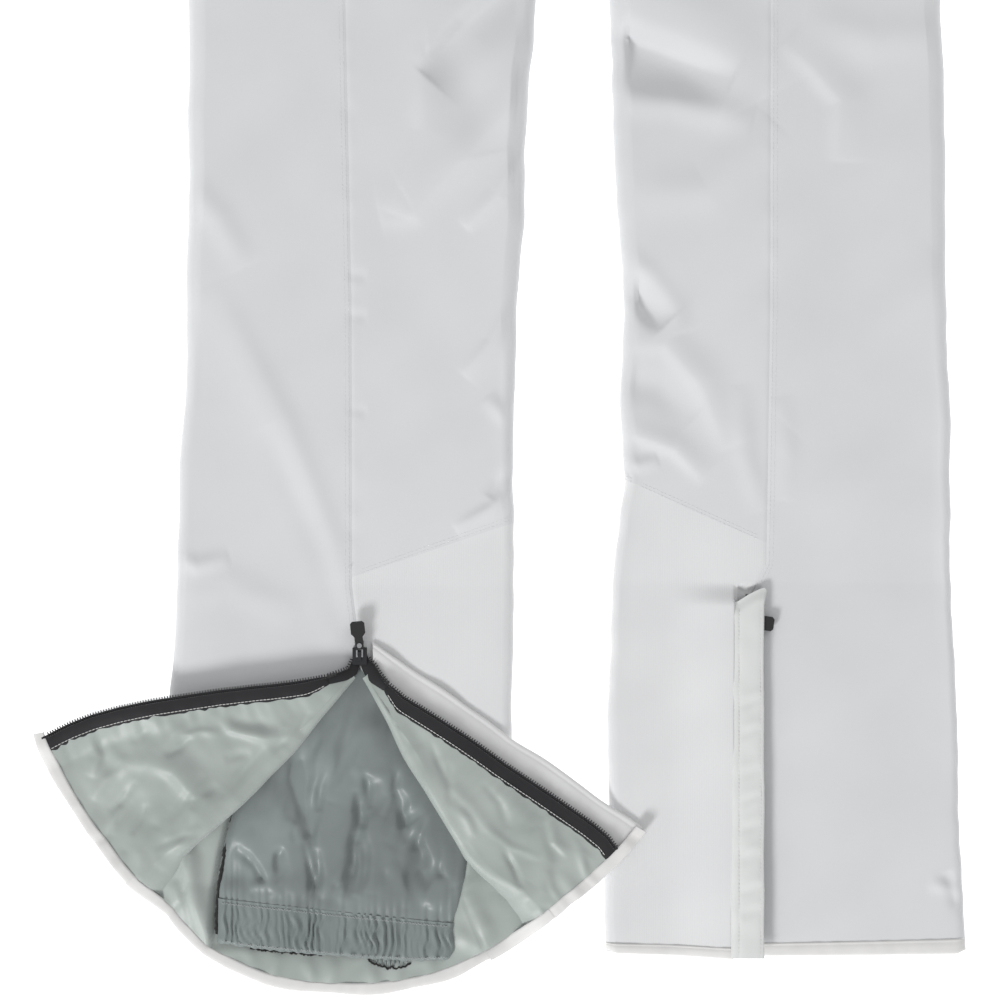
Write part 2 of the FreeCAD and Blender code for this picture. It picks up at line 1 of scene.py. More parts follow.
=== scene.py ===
"""Looks for a pair of ski pants lying flat, one hem zip open and folded out over its gaiter.

Shapes are worked out in garment millimetres, X across, Y up from the closed hem and Z up, then placed.
"""

import json
import math

import bpy
import numpy as np
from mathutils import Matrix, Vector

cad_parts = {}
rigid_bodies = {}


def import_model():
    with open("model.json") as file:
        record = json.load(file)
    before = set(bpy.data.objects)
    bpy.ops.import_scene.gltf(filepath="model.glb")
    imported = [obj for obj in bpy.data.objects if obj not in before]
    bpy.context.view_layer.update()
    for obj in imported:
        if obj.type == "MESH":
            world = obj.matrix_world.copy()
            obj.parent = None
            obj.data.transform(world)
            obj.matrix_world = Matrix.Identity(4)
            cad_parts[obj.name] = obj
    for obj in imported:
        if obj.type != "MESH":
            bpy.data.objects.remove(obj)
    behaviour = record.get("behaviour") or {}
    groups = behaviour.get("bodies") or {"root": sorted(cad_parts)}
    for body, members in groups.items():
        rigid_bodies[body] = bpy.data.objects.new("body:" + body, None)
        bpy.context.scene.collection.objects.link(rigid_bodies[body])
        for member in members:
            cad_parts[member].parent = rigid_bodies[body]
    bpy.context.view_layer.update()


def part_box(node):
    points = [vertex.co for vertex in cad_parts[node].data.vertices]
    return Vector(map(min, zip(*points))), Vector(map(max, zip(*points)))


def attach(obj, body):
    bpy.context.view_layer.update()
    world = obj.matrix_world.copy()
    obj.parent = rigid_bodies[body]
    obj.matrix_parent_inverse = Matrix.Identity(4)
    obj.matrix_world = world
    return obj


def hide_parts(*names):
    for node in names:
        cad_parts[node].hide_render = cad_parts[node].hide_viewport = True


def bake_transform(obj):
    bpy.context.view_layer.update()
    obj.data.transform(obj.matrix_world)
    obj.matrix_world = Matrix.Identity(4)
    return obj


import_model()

low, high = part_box("left_zip_slider")
APEX = np.array([-148.4, 202.0])
SLIDER_Y = 211.0
OFFSET = np.array([(low.x + high.x) * 500 - APEX[0], (low.y + high.y) * 500 - SLIDER_Y, 0.0])

SIDE_SEAM_Z = 6.5
PANEL_TOP = 1021
HEM_WIDTH = 8.4
LINING_Z = 23.2
CLOTH_GAP = 2.2
FOLD_DEPTH = 1.75
ROLL_COLUMNS = 14
ZIP_X = 124
POCKET_X, POCKET_Y, POCKET_TILT = 168, 930, 14

# leg outlines: (y, outer edge x, inner edge x, lying thickness)
RIGHT_LEG = np.array([
    (0, 276, 24, 13), (60, 275, 24.5, 13), (180, 270, 25, 13), (262, 267, 30, 13), (334, 265, 35, 17),
    (460, 263, 34, 21), (600, 260, 29, 24), (670, 257, 26, 26), (730, 259, 17, 29), (790, 264, 3, 34),
    (880, 260, 0, 34), (960, 240, 0, 34), (1021, 220, 0, 34)], float)
LEFT_LEG = np.array([
    (-40, -284, -46, 14), (215, -280, -41, 14), (260, -278, -41, 14), (334, -273.5, -41, 17),
    (460, -269.5, -37.5, 21), (600, -269, -29, 24), (670, -270, -25, 26), (730, -269, -16, 29),
    (790, -268, -3, 34),
    (880, -262, 0, 34), (960, -242, 0, 34), (1021, -222, 0, 34)], float)
RIGHT_SEAM = np.array([(-60, 124), (250, 124), (275, 136), (460, 138), (670, 138), (790, 136), (1021, 118)],
    float)
LEFT_SEAM = np.array([(-60, -148.4), (215, -148.4), (260, -154), (460, -154), (670, -158), (790, -142),
    (1021, -120)], float)


# ---- small maths -------------------------------------------------------------------------------
def smooth(a, b, x):
    """Smooth step from 0 at a to 1 at b."""
    t = np.clip((x - a) / (b - a), 0, 1)
    return t * t * (3 - 2 * t)


def along(table, y, column):
    """A column of a table read off at the heights y."""
    return np.interp(y, table[:, 0], table[:, column])


def ripple(x, y, size, seed, stretch=1.0, heading=0.0, n=14):
    """Smooth random waves of about unit height; stretch lengthens them along the heading, in degrees."""
    rng = np.random.default_rng(seed)
    c, s = math.cos(math.radians(heading)), math.sin(math.radians(heading))
    u, v = (x * c + y * s) / stretch, -x * s + y * c
    total = 0
    for _ in range(n):
        a, p, k = rng.uniform(0, math.tau), rng.uniform(0,
            math.tau), math.tau / (size * rng.uniform(0.6, 1.7))
        total = total + np.sin(k * (u * math.cos(a) + v * math.sin(a)) + p)
    return total / math.sqrt(n / 2)


def path_field(x, y, path):
    """Signed distance to a path and the share of its length at the nearest point."""
    path = np.asarray(path, float)
    steps = np.linalg.norm(np.diff(path, axis=0), axis=1)
    before = np.concatenate([[0], np.cumsum(steps)]) / steps.sum()
    best = np.full(np.shape(x), 1e9)
    side, share = np.ones(np.shape(x)), np.zeros(np.shape(x))
    for i, (p, q) in enumerate(zip(path, path[1:])):
        d = (q - p) / steps[i]
        t = np.clip(((x - p[0]) * d[0] + (y - p[1]) * d[1]) / steps[i], 0, 1)
        dx, dy = x - p[0] - t * steps[i] * d[0], y - p[1] - t * steps[i] * d[1]
        dist = np.hypot(dx, dy)
        nearer = dist < best
        best = np.where(nearer, dist, best)
        side = np.where(nearer, np.sign(d[0] * dy - d[1] * dx), side)
        share = np.where(nearer, before[i] + t * (before[i + 1] - before[i]), share)
    return best * side, share


def crease(x, y, path, depth, width, lean=0.0, start=0.0, end=0.0):
    """Soft ridge (or valley, when depth is negative) along a path. lean makes one flank steeper.
    start and end are its height at either end as a share."""
    d, t = path_field(x, y, path)
    w = width * np.where(d > 0, 1 + lean, 1 - lean)
    body = np.sin(math.pi * np.clip(t, 0, 1)) ** 0.6
    taper = np.maximum(body, np.where(t < 0.5, start, end))
    return depth * np.exp(-((d / w) ** 2)) * taper


def creases(x, y, table):
    """The sum of several creases. A row is path, depth, width and, where needed, lean, start, end."""
    z = 0
    for row in table:
        z = z + crease(x, y, *row)
    return z


def outline(side):
    """Leg outline and long seam of one side."""
    return (RIGHT_LEG, RIGHT_SEAM) if side > 0 else (LEFT_LEG, LEFT_SEAM)


def joined(*parts):
    """Coordinates spread over a common grid and put together as points."""
    return np.stack(np.broadcast_arrays(*parts), -1)


def lifted(xy, z):
    """Plan points with their heights."""
    return np.concatenate([xy, z[..., None]], -1)


def polar(degrees, r):
    """Plan points round the apex."""
    a = np.radians(degrees)
    return joined(APEX[0] + r * np.cos(a), APEX[1] + r * np.sin(a))


# ---- meshes ------------------------------------------------------------------------------------
def piece(name, vertices, faces, material, body, slot=None, replaces=(), shade=True):
    """A mesh from garment millimetres, riding on a CAD body (or on nothing, when body is None)."""
    mesh = bpy.data.meshes.new(name)
    v = (np.asarray(vertices, float) + OFFSET) / 1000
    mesh.from_pydata(v.tolist(), [], [list(map(int, f)) for f in faces])
    mesh.polygons.foreach_set("use_smooth", [shade] * len(mesh.polygons))
    mesh.materials.append(material)
    mesh.update()
    o = bpy.data.objects.new(name, mesh)
    bpy.context.scene.collection.objects.link(o)
    if body:
        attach(o, body)
    if replaces:
        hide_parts(*replaces)
    return o


def grid_faces(rows, cols, wrap=False, flip=False, base=0):
    """Quads of a grid of points."""
    r, c = np.meshgrid(np.arange(rows - 1), np.arange(cols if wrap else cols - 1), indexing="ij")
    n = (c + 1) % cols
    f = np.stack([r * cols + c, r * cols + n, (r + 1) * cols + n, (r + 1) * cols + c], -1).reshape(-1,
        4) + base
    return f[:, ::-1] if flip else f


def surface(name, points, material, body, flip=False, wrap=False, caps=False, **more):
    """A grid of points (rows, columns, 3) as one sheet."""
    rows, cols = points.shape[:2]
    faces = grid_faces(rows, cols, wrap, flip).tolist()
    if caps:
        faces.append(list(range(cols))[::1 if flip else -1])
        faces.append([(rows - 1) * cols + i for i in range(cols)][::-1 if flip else 1])
    return piece(name, points.reshape(-1, 3), faces, material, body, **more)


def loop_section(width, thick, n=5):
    """Rounded rectangle as a closed section."""
    r, pts = thick / 2, []
    for cx, a0 in ((width / 2 - r, -90), (-width / 2 + r, 90)):
        for a in np.linspace(a0, a0 + 180, n):
            pts.append((cx + r * math.cos(math.radians(a)), r * math.sin(math.radians(a))))
    return np.array(pts)


def beads(paths, step, length, radius, sides=5):
    """Stitches: short rounded threads laid end to end along 3-D paths."""
    verts, faces = [], []
    ring = [(math.cos(a), math.sin(a)) for a in np.arange(sides) * math.tau / sides]
    profile = [(-0.5, 0.25), (-0.3, 1.0), (0.3, 1.0), (0.5, 0.25)]
    for path in paths:
        path = np.asarray(path, float)
        seg = np.linalg.norm(np.diff(path, axis=0), axis=1)
        at = np.concatenate([[0], np.cumsum(seg)])
        count = int(at[-1] // step)
        for k in range(count):
            s = (k + 0.5) * step
            p = np.array([np.interp(s, at, path[:, i]) for i in range(3)])
            q = np.array([np.interp(s + 0.2, at, path[:, i]) for i in range(3)])
            t = (q - p) / (np.linalg.norm(q - p) + 1e-9)
            a = np.cross(t, [0, 0, 1.0])
            a /= np.linalg.norm(a) + 1e-9
            u = np.cross(a, t)
            base = len(verts)
            for l, w in profile:
                for cx, cz in ring:
                    dip = -0.25 * radius * (abs(l) > 0.4)
                    verts.append(p + t * l * length + (a * cx * w + u * (cz * w)) * radius + u * dip)
            for i in range(len(profile) - 1):
                for j in range(sides):
                    n = (j + 1) % sides
                    faces.append([base + i * sides + j, base + i * sides + n, base + (i + 1) * sides + n,
                        base + (i + 1) * sides + j])
    return np.array(verts), faces


# ---- materials ---------------------------------------------------------------------------------
def new_material(name):
    """A material and the parts of its node tree."""
    m = bpy.data.materials.new(name)
    m.use_nodes = True
    return m, m.node_tree.nodes, m.node_tree.links, m.node_tree.nodes["Principled BSDF"]


def texture(m, at, kind, **settings):
    """A texture on the piece's own coordinates; an underscore in a setting's name stands for a space."""
    made = m.node_tree.nodes.new("ShaderNodeTex" + kind)
    for name, value in settings.items():
        made.inputs[name.replace("_", " ")].default_value = value
    m.node_tree.links.new(at.outputs["Object"], made.inputs["Vector"])
    return made


def two_tones(m, pattern, shader, dark, light, low, high):
    """Base colour running from dark to light as the pattern goes from low to high."""
    ramp = m.node_tree.nodes.new("ShaderNodeValToRGB")
    first, second = ramp.color_ramp.elements
    first.position, second.position = low, high
    first.color, second.color = (*dark, 1), (*light, 1)
    m.node_tree.links.new(pattern.outputs["Fac"], ramp.inputs["Fac"])
    m.node_tree.links.new(ramp.outputs["Color"], shader.inputs["Base Color"])


def raised(m, pattern, strength, distance, below=None):
    """A bump from a pattern, over another bump if there is one."""
    bump = m.node_tree.nodes.new("ShaderNodeBump")
    bump.inputs["Strength"].default_value = strength
    bump.inputs["Distance"].default_value = distance
    m.node_tree.links.new(pattern.outputs["Fac"], bump.inputs["Height"])
    if below:
        m.node_tree.links.new(below.outputs["Normal"], bump.inputs["Normal"])
    return bump


def cloth(name, colour, dark, roughness=0.75, sheen=0.2, grain=0.5, grain_mm=0.9, rib_mm=None, rib=0.0,
        blotch_mm=60, specular=0.3):
    """Woven fabric: soft blotches of tone, a fine grain and, if asked, raised ribs."""
    m, nodes, links, shader = new_material(name)
    shader.inputs["Roughness"].default_value = roughness
    shader.inputs["Sheen Weight"].default_value = sheen
    shader.inputs["Sheen Roughness"].default_value = 0.5
    shader.inputs["Specular IOR Level"].default_value = specular
    at = nodes.new("ShaderNodeTexCoord")
    blotch = texture(m, at, "Noise", Scale=1000 / blotch_mm, Detail=4)
    two_tones(m, blotch, shader, dark, colour, 0.3, 0.7)
    last = raised(m, texture(m, at, "Noise", Scale=1000 / grain_mm, Detail=3), grain, 0.0002)
    if rib_mm:
        ribs = texture(m, at, "Wave", Scale=1000 * math.tau / (20 * rib_mm), Distortion=0.6, Detail_Scale=4)
        last = raised(m, ribs, rib, 0.0003, last)
    links.new(last.outputs["Normal"], shader.inputs["Normal"])
    return m


def solid(name, colour, roughness, metallic=0.0, grain=0.15, grain_mm=0.6, dark=0.8):
    """Plastic, rubber or metal with a faint uneven finish."""
    m, nodes, links, shader = new_material(name)
    shader.inputs["Metallic"].default_value = metallic
    noise = texture(m, nodes.new("ShaderNodeTexCoord"), "Noise", Scale=1000 / grain_mm, Detail=4)
    two_tones(m, noise, shader, [c * dark for c in colour], colour, 0, 1)
    rough = nodes.new("ShaderNodeMapRange")
    rough.inputs["To Min"].default_value = max(roughness - 0.08, 0.02)
    rough.inputs["To Max"].default_value = roughness + 0.08
    links.new(noise.outputs["Fac"], rough.inputs["Value"])
    links.new(rough.outputs["Result"], shader.inputs["Roughness"])
    links.new(raised(m, noise, grain, 0.0001).outputs["Normal"], shader.inputs["Normal"])
    return m


SHELL = cloth("shell", (0.68, 0.69, 0.70), (0.655, 0.665, 0.68), grain=0.35)
SCUFF = cloth("scuff", (0.73, 0.735, 0.74), (0.70, 0.705, 0.715), grain=0.3, rib_mm=1.6, rib=0.14)
HEM = cloth("hem", (0.73, 0.725, 0.715), (0.69, 0.685, 0.68), grain=0.4, blotch_mm=14)
LINING = cloth("lining", (0.405, 0.447, 0.425), (0.325, 0.365, 0.345), roughness=0.46, sheen=0.2, grain=0.2,
    specular=0.4)
GAITER = cloth("gaiter", (0.25, 0.284, 0.282), (0.17, 0.194, 0.192), roughness=0.42, sheen=0.15, grain=0.2,
    specular=0.4)
CUFF = cloth("cuff", (0.218, 0.25, 0.248), (0.19, 0.22, 0.218), roughness=0.5, grain=0.3, rib_mm=0.9, rib=0.3)
TAPE = cloth("tape", (0.018, 0.018, 0.02), (0.012, 0.012, 0.014), roughness=0.7, grain=0.5, rib_mm=0.8,
    rib=0.2)
STORM = cloth("storm_flap", (0.70, 0.712, 0.705), (0.675, 0.69, 0.68), grain=0.35, blotch_mm=30)
HEM_LIGHT = cloth("storm_strip", (0.75, 0.75, 0.75), (0.72, 0.72, 0.725), grain=0.35, blotch_mm=30)
CUFF_THREAD = cloth("cuff_thread", (0.42, 0.45, 0.445), (0.36, 0.39, 0.385), grain=0.4, blotch_mm=3)
SEAM_THREAD = cloth("seam_thread", (0.74, 0.74, 0.745), (0.68, 0.68, 0.685), grain=0.5, blotch_mm=4)
THREAD = cloth("thread", (0.70, 0.70, 0.69), (0.62, 0.62, 0.61), grain=0.6, blotch_mm=3)
DARK_THREAD = cloth("dark_thread", (0.02, 0.02, 0.02), (0.012, 0.012, 0.012), grain=0.6, blotch_mm=3)
COIL = solid("coil", (0.03, 0.03, 0.033), 0.35)
METAL = solid("metal", (0.55, 0.56, 0.58), 0.28, metallic=1.0)
GUNMETAL = solid("gunmetal", (0.045, 0.046, 0.05), 0.34, metallic=0.6)
RUBBER = solid("rubber", (0.015, 0.015, 0.016), 0.5)
SNAP = solid("snap", (0.6, 0.61, 0.62), 0.4)
POCKETING = cloth("pocketing", (0.6, 0.61, 0.62), (0.56, 0.57, 0.58))


# ---- leg surfaces ------------------------------------------------------------------------------
def right_folds(x, y):
    """Folds of the closed leg's front, swept in from the knee and hip and pinched at the inner edge."""
    z = creases(x, y, (
        ([(20, 690), (70, 668), (112, 640), (134, 600)], 2.2, 24, 0, 1),
        ([(8, 650), (60, 632), (112, 612)], -7.0, 18, -0.45, 1),
        ([(10, 600), (70, 598), (126, 584)], 2.4, 11, 0, 0.8),
        ([(147, 640), (168, 621), (188, 598), (186, 556)], 1.6, 12, 0.4),
        ([(160, 655), (210, 640), (262, 646)], 1.6, 15),
        ([(24, 496), (50, 478), (70, 454), (76, 436)], 1.7, 9, 0, 0.6),
        ([(20, 474), (44, 462), (64, 441)], -4.6, 11, 0.35, 1),
        ([(34, 430), (66, 429), (90, 401), (110, 356)], 1.9, 11, 0.3, 0.4),
        ([(30, 404), (60, 398), (84, 376)], -1.8, 12, 0, 1),
        ([(26, 372), (50, 364), (72, 356), (94, 334)], 1.8, 8, 0.3, 0.6),
        ([(28, 350), (46, 344), (60, 349)], 1.5, 5, 0, 0.8),
        ([(40, 532), (94, 536), (140, 584)], 1.4, 14),
        ([(150, 372), (202, 430), (258, 488)], 1.1, 17),
        ([(117, 400), (120, 353), (133, 312)], 1.0, 8),
        ([(146, 392), (150, 350), (146, 320)], 0.8, 8),
        ([(262, 60), (270, 40), (277, 34)], -1.6, 5, 0, 0, 1),
        ([(250, 52), (268, 48), (277, 46)], 1.0, 5, 0, 0, 1),
    ))
    return z


def left_folds(x, y):
    """Folds of the opened leg's front."""
    z = creases(x, y, (
        ([(-104, 616), (-74, 650), (-26, 690)], -4.6, 13, -0.5, 0, 1),
        ([(-102, 626), (-103, 577), (-126, 520)], 1.6, 11, 0.3, 0.5),
        ([(-134, 516), (-110, 521), (-74, 560), (-22, 618)], 2.6, 13, 0.35, 0, 1),
        ([(-92, 640), (-70, 600), (-60, 560)], -1.6, 16),
        ([(-32, 566), (-52, 532), (-74, 509)], 1.8, 6, -0.3, 0.8),
        ([(-36, 470), (-56, 430), (-76, 407)], 1.5, 7, 0.3, 0.8),
        ([(-36, 392), (-48, 380), (-60, 392)], 1.2, 6, 0, 0.8),
        ([(-36, 332), (-57, 314), (-82, 300)], 1.5, 6, 0.3, 0.8),
        ([(-36, 348), (-52, 332), (-58, 322)], -1.4, 5, 0, 0.8),
        ([(-252, 470), (-200, 372), (-168, 288), (-154, 222)], 1.2, 12, -0.2, 0, 0.8),
        ([(-214, 372), (-176, 286), (-157, 222)], -0.9, 10, 0, 0, 1),
        ([(-272, 545), (-246, 516), (-228, 482)], 1.3, 10, 0, 0.5),
        ([(-284, 282), (-262, 274), (-240, 280)], 1.2, 6, 0, 0.8),
        ([(-284, 250), (-240, 262), (-190, 240)], 0.9, 12, 0, 0.6),
    ))
    for py in (477, 449, 383):
        z += crease(x, y, [(-153, py), (-143, py - 1)], -0.4, 4.2, start=1)
    return z


def front_z(side, x, y):
    """Height of the front fabric, before its rounded edges."""
    leg, seam = outline(side)
    h = along(leg, y, 3)
    folds = (right_folds if side > 0 else left_folds)(x, y) * FOLD_DEPTH
    broad = ripple(x, y, 150, 5 + side, stretch=2.4, heading=84) * (0.75 + smooth(250, 500, y))
    fine = ripple(x, y, 46, 9 + side, stretch=1.8, heading=60) * 0.24
    hips = ripple(x, y, 120, 21, stretch=2.2, heading=8) * 1.2 * smooth(700, 790, y) * smooth(1015, 960, y)
    groove = np.exp(-(((x - along(seam, y, 1)) / 1.1) ** 2)) * -0.55
    pucker = np.exp(-(((x - along(seam, y, 1)) / 5.0) ** 2)) * ripple(x * 0, y, 26, 31 + side) * 0.22
    flat = 1 - smooth(40, 15, np.hypot(x, (y - 945) * 0.35)) * (y > 860)
    tilt = math.radians(POCKET_TILT)
    pocket = np.abs((x - side * POCKET_X) * math.cos(tilt) + side * (y - POCKET_Y) * math.sin(tilt))
    flat = flat * (1 - smooth(24, 12, pocket) * smooth(842, 856, y))
    if side > 0:
        h = h - 3.0 * smooth(8.6, 6.8, np.abs(x - ZIP_X)) * smooth(262, 256, y)
    return h + (folds + broad + fine + hips) * flat + groove + pucker


def crest_x(side, y):
    """Where the front of the opened leg turns over, below the apex."""
    r = np.linspace(0, 240, 60)
    angle = bent(CREST[side], r)
    p = polar(angle, r) + normal_of(side, angle) * (7.0 * smooth(135, 175, r) + 0.5)[:, None]
    return np.interp(y, p[::-1, 1], p[::-1, 0])


def edge_wobble(side, outer, y):
    """Small unevenness of a leg's edge."""
    return ripple(y * 0, y, 120, 40 + side + 3 * outer) * 0.9 + ripple(y * 0, y, 34,
        50 + side + 3 * outer) * 0.25


ARC = 9                                     # columns over a rounded edge
FINE = 1.6
COLS = 84
WIDE = ARC + COLS - 1


def profile(side, part, y):
    """Points of a front panel: y gives the height of every column, from the side seam to the long seam."""
    y = np.broadcast_to(np.asarray(y, float), (*np.shape(y)[:-1], WIDE)) if np.shape(y)[-1] == 1 else y
    leg, seam = outline(side)
    outer = part == "outer"
    edge, h = along(leg, y, 1 if outer else 2), along(leg, y, 3)
    edge = edge + edge_wobble(side, outer, y) * (1 if outer else y < 760)
    inward = -side if outer else side
    stop = along(seam, y, 1)
    if side < 0:
        stop = np.where(y < APEX[1], crest_x(-1 if outer else 1, y), stop)
    rx = h / 2 * (1.0 if outer else smooth(790, 700, y))
    a0 = np.arcsin(np.clip((SIDE_SEAM_Z - h / 2) / (h / 2), -1, 1))
    column = np.arange(WIDE)
    bend = np.clip(column / (ARC - 1), 0, 1)
    share = np.clip((column - ARC + 1) / (COLS - 1), 0, 1)
    angle = a0 + (math.pi / 2 - a0) * bend
    reach = np.maximum((stop - edge) * inward - rx, 0.5)
    x = edge + inward * (rx * (1 - np.cos(angle)) + reach * share)
    top = front_z(side, x, y)
    soft = 0.35 + 0.65 * smooth(0, 14, np.abs(x - edge))
    z = np.where(bend >= 1, h + (top - h) * soft, h / 2 + (h / 2 + (top - h) * 0.35) * np.sin(angle))
    return joined(x, y, z)


def rows_between(y0, y1, step):
    """Evenly spaced heights, about step apart."""
    return np.linspace(y0, y1, max(3, int(abs(y1 - y0) / step)))


def panel(name, side, part, ys, material, replaces=(), slot="shell_fabric"):
    """A front panel with level rows."""
    facing = (side > 0) == (part == "outer")
    pts = profile(side, part, ys[:, None])
    return surface(name, pts, material, "garment", flip=not facing, slot=slot, replaces=replaces)


def slanted(side, y_seam, y_edge, y_end, step):
    """Column heights of rows that start along a scuff guard's slanting seam and level out at y_end."""
    base = profile(side, "inner", np.array([[y_seam]], float))[0]
    share = (base[:, 0] - base[0, 0]) / (base[-1, 0] - base[0, 0])
    t = np.linspace(0, 1, max(3, int(abs(y_end - (y_seam + y_edge) / 2) / step)))[:, None]
    return (1 - t) * (y_edge + (y_seam - y_edge) * share) + t * y_end


def level(ys):
    """The same height for every column."""
    return np.repeat(np.asarray(ys, float)[:, None], WIDE, 1)


def inner_panels():
    """Inner front panels and the scuff guards below them, meeting along a slanting seam."""
    for side, y_seam, y_edge, bottom in ((1, 290, 334, 3.5), (-1, 266, 304, 55)):
        word = "right" if side > 0 else "left"
        above = np.concatenate([slanted(side, y_seam, y_edge, 420, FINE)[:-1],
            level(rows_between(420, 690, FINE)),
            level(rows_between(694, 790, 4))])
        surface(f"{word}_inner_front", profile(side, "inner", above), SHELL, "garment", flip=side > 0,
            slot="shell_fabric", replaces=(f"{word}_front_inner_panel",))
        below = np.concatenate([slanted(side, y_seam, y_edge, 230, FINE)[:-1],
            level(rows_between(230, bottom, FINE))])
        lower = profile(side, "inner", below)
        if side > 0:
            lift = 6.4 * smooth(66, 112, lower[..., 0]) * smooth(262, 246, lower[..., 1])
            lower[..., 2] += np.where(lower[..., 0] < 113.3, lift, -0.5 * smooth(262, 256, lower[..., 1]))
        surface(f"{word}_scuff", lower, SCUFF, "garment", flip=side < 0, slot="scuff_fabric",
            replaces=(f"{word}_scuff_guard",))


def outer_panels():
    """Outer front panels, and the fronts of the hips up to the waist."""
    ys = np.concatenate([rows_between(5, 690, FINE), rows_between(692, PANEL_TOP, 4)])
    panel("right_outer_front", 1, "outer", ys, SHELL, ("right_front_outer_panel",))
    ys = np.concatenate([rows_between(73, 690, FINE), rows_between(692, PANEL_TOP, 4)])
    panel("left_outer_front", -1, "outer", ys, SHELL, ("left_front_outer_panel",))
    for side, word in ((1, "right"), (-1, "left")):
        seam = outline(side)[1]
        rows = []
        for y in rows_between(788, PANEL_TOP, 4):
            x = np.linspace(0, along(seam, y, 1), 40)
            rows.append(np.stack([x, np.full_like(x, y), front_z(side, x, np.full_like(x, y))], -1))
        surface(f"{word}_hip_front", np.stack(rows), SHELL, "garment", flip=side < 0, slot="shell_fabric")


def back_panels():
    """Backs of the legs and seat, from side seam to side seam underneath."""
    for side, leg, word in ((1, RIGHT_LEG, "right"), (-1, LEFT_LEG, "left")):
        rows = []
        y0 = 3.4 if side > 0 else 62
        for y in np.concatenate([rows_between(y0, 700, 6), rows_between(700, PANEL_TOP, 6)]):
            h = along(leg, y, 3)
            eo, ei = along(leg, y, 1), along(leg, y, 2)
            eo, ei = eo + edge_wobble(side, True, y), ei + edge_wobble(side, False, y) * (y < 760)
            a0 = math.asin(np.clip((SIDE_SEAM_Z - h / 2) / (h / 2), -1, 1))
            arc = np.linspace(a0, -math.pi / 2, 8)
            ro, ri = h / 2, h / 2 * float(smooth(790, 700, y))
            xo, xi = eo - side * ro * (1 - np.cos(arc)), ei + side * ri * (1 - np.cos(arc))
            zo = h / 2 + h / 2 * np.sin(arc)
            xm = np.linspace(xo[-1], xi[-1], 30)[1:-1]
            zm = np.abs(ripple(xm, np.full_like(xm, y), 90, 60 + side)) * 0.5
            row = np.concatenate([joined(xo, y, zo),
                joined(xm, y, zm),
                joined(xi[::-1], y, zo[::-1])])
            rows.append(row)
        surface(f"{word}_back", np.stack(rows), SHELL, "garment", flip=side > 0, slot="shell_fabric",
            replaces=(f"{word}_back_panel",))


# ---- the opened hem ----------------------------------------------------------------------------
# angle round the apex: radius of the hem's outer edge
HEM_R = np.array([(188, 233), (191.5, 232), (205, 226), (215, 222), (226, 221), (232, 222), (241, 231),
    (253, 233),
    (266, 230.5), (281, 229), (293, 225.5), (303, 222), (312, 221), (320, 224), (330, 230), (336, 233)],
    float)
# radius: angle of the teeth, and of the line where the fabric turns over
TEETH = {-1: np.array([(5, 196), (16, 192.5), (29, 191.2), (52, 190), (75, 188.8), (99, 188.3),
    (146, 188.4), (169, 188.9),
    (189, 189.6), (206, 190.6), (222, 191.8), (240, 193)]),
    1: np.array([(5, 345), (13, 345), (21, 334), (36, 328.8), (63, 328.6), (91, 328.1), (120, 327.2),
    (148, 327), (175, 326.8),
    (195, 326.6), (208, 326.2), (217, 325.4), (240, 325)])}
CREST = {-1: np.array([(0, 229), (44, 228.4), (74, 228.4), (98, 227.2), (130, 227), (177, 225.6),
    (205, 226), (240, 226)]),
    1: np.array([(0, 302.5), (26, 302), (52, 301), (74, 301), (105, 300.4), (129, 300.4), (151, 300.8),
    (171, 302.2),
    (192, 304.4), (240, 305.5)])}
BODY = {-1: "outer_flap", 1: "inner_flap"}
START_R = 6.5


def bent(table, r):
    """A table read off at r."""
    return np.interp(r, table[:, 0], table[:, 1])


def tape_width(r):
    """Width of the zip tape, narrowing towards the apex."""
    return 3.2 + 8.8 * smooth(10, 44, r)


def flap_angle(side, r, inset):
    """Angle of a line running inset mm inside the teeth."""
    return bent(TEETH[side], r) - side * np.degrees(inset / np.maximum(r, 8))


def radius_at(u, angle, margin):
    """Radius at the share u of the way from the apex to the hem."""
    return START_R + u * (bent(HEM_R, angle) - margin - START_R)


def small_creases(x, y, count, low, high, heading, seed):
    """Short creases scattered over a cloth between two corners, lying roughly along one heading."""
    rng = np.random.default_rng(seed)
    z = 0 * x
    for _ in range(count):
        middle = rng.uniform(low, high)
        a = math.radians(heading + rng.normal(0, 20))
        reach = np.array([math.cos(a), math.sin(a)]) * rng.uniform(9, 24)
        bow = np.array([-math.sin(a), math.cos(a)]) * rng.uniform(-4, 4)
        z = z + crease(x, y, [middle - reach, middle + bow, middle + reach],
            rng.choice((-1, 1)) * rng.uniform(0.7, 1.7), rng.uniform(2.4, 4.4))
    return z


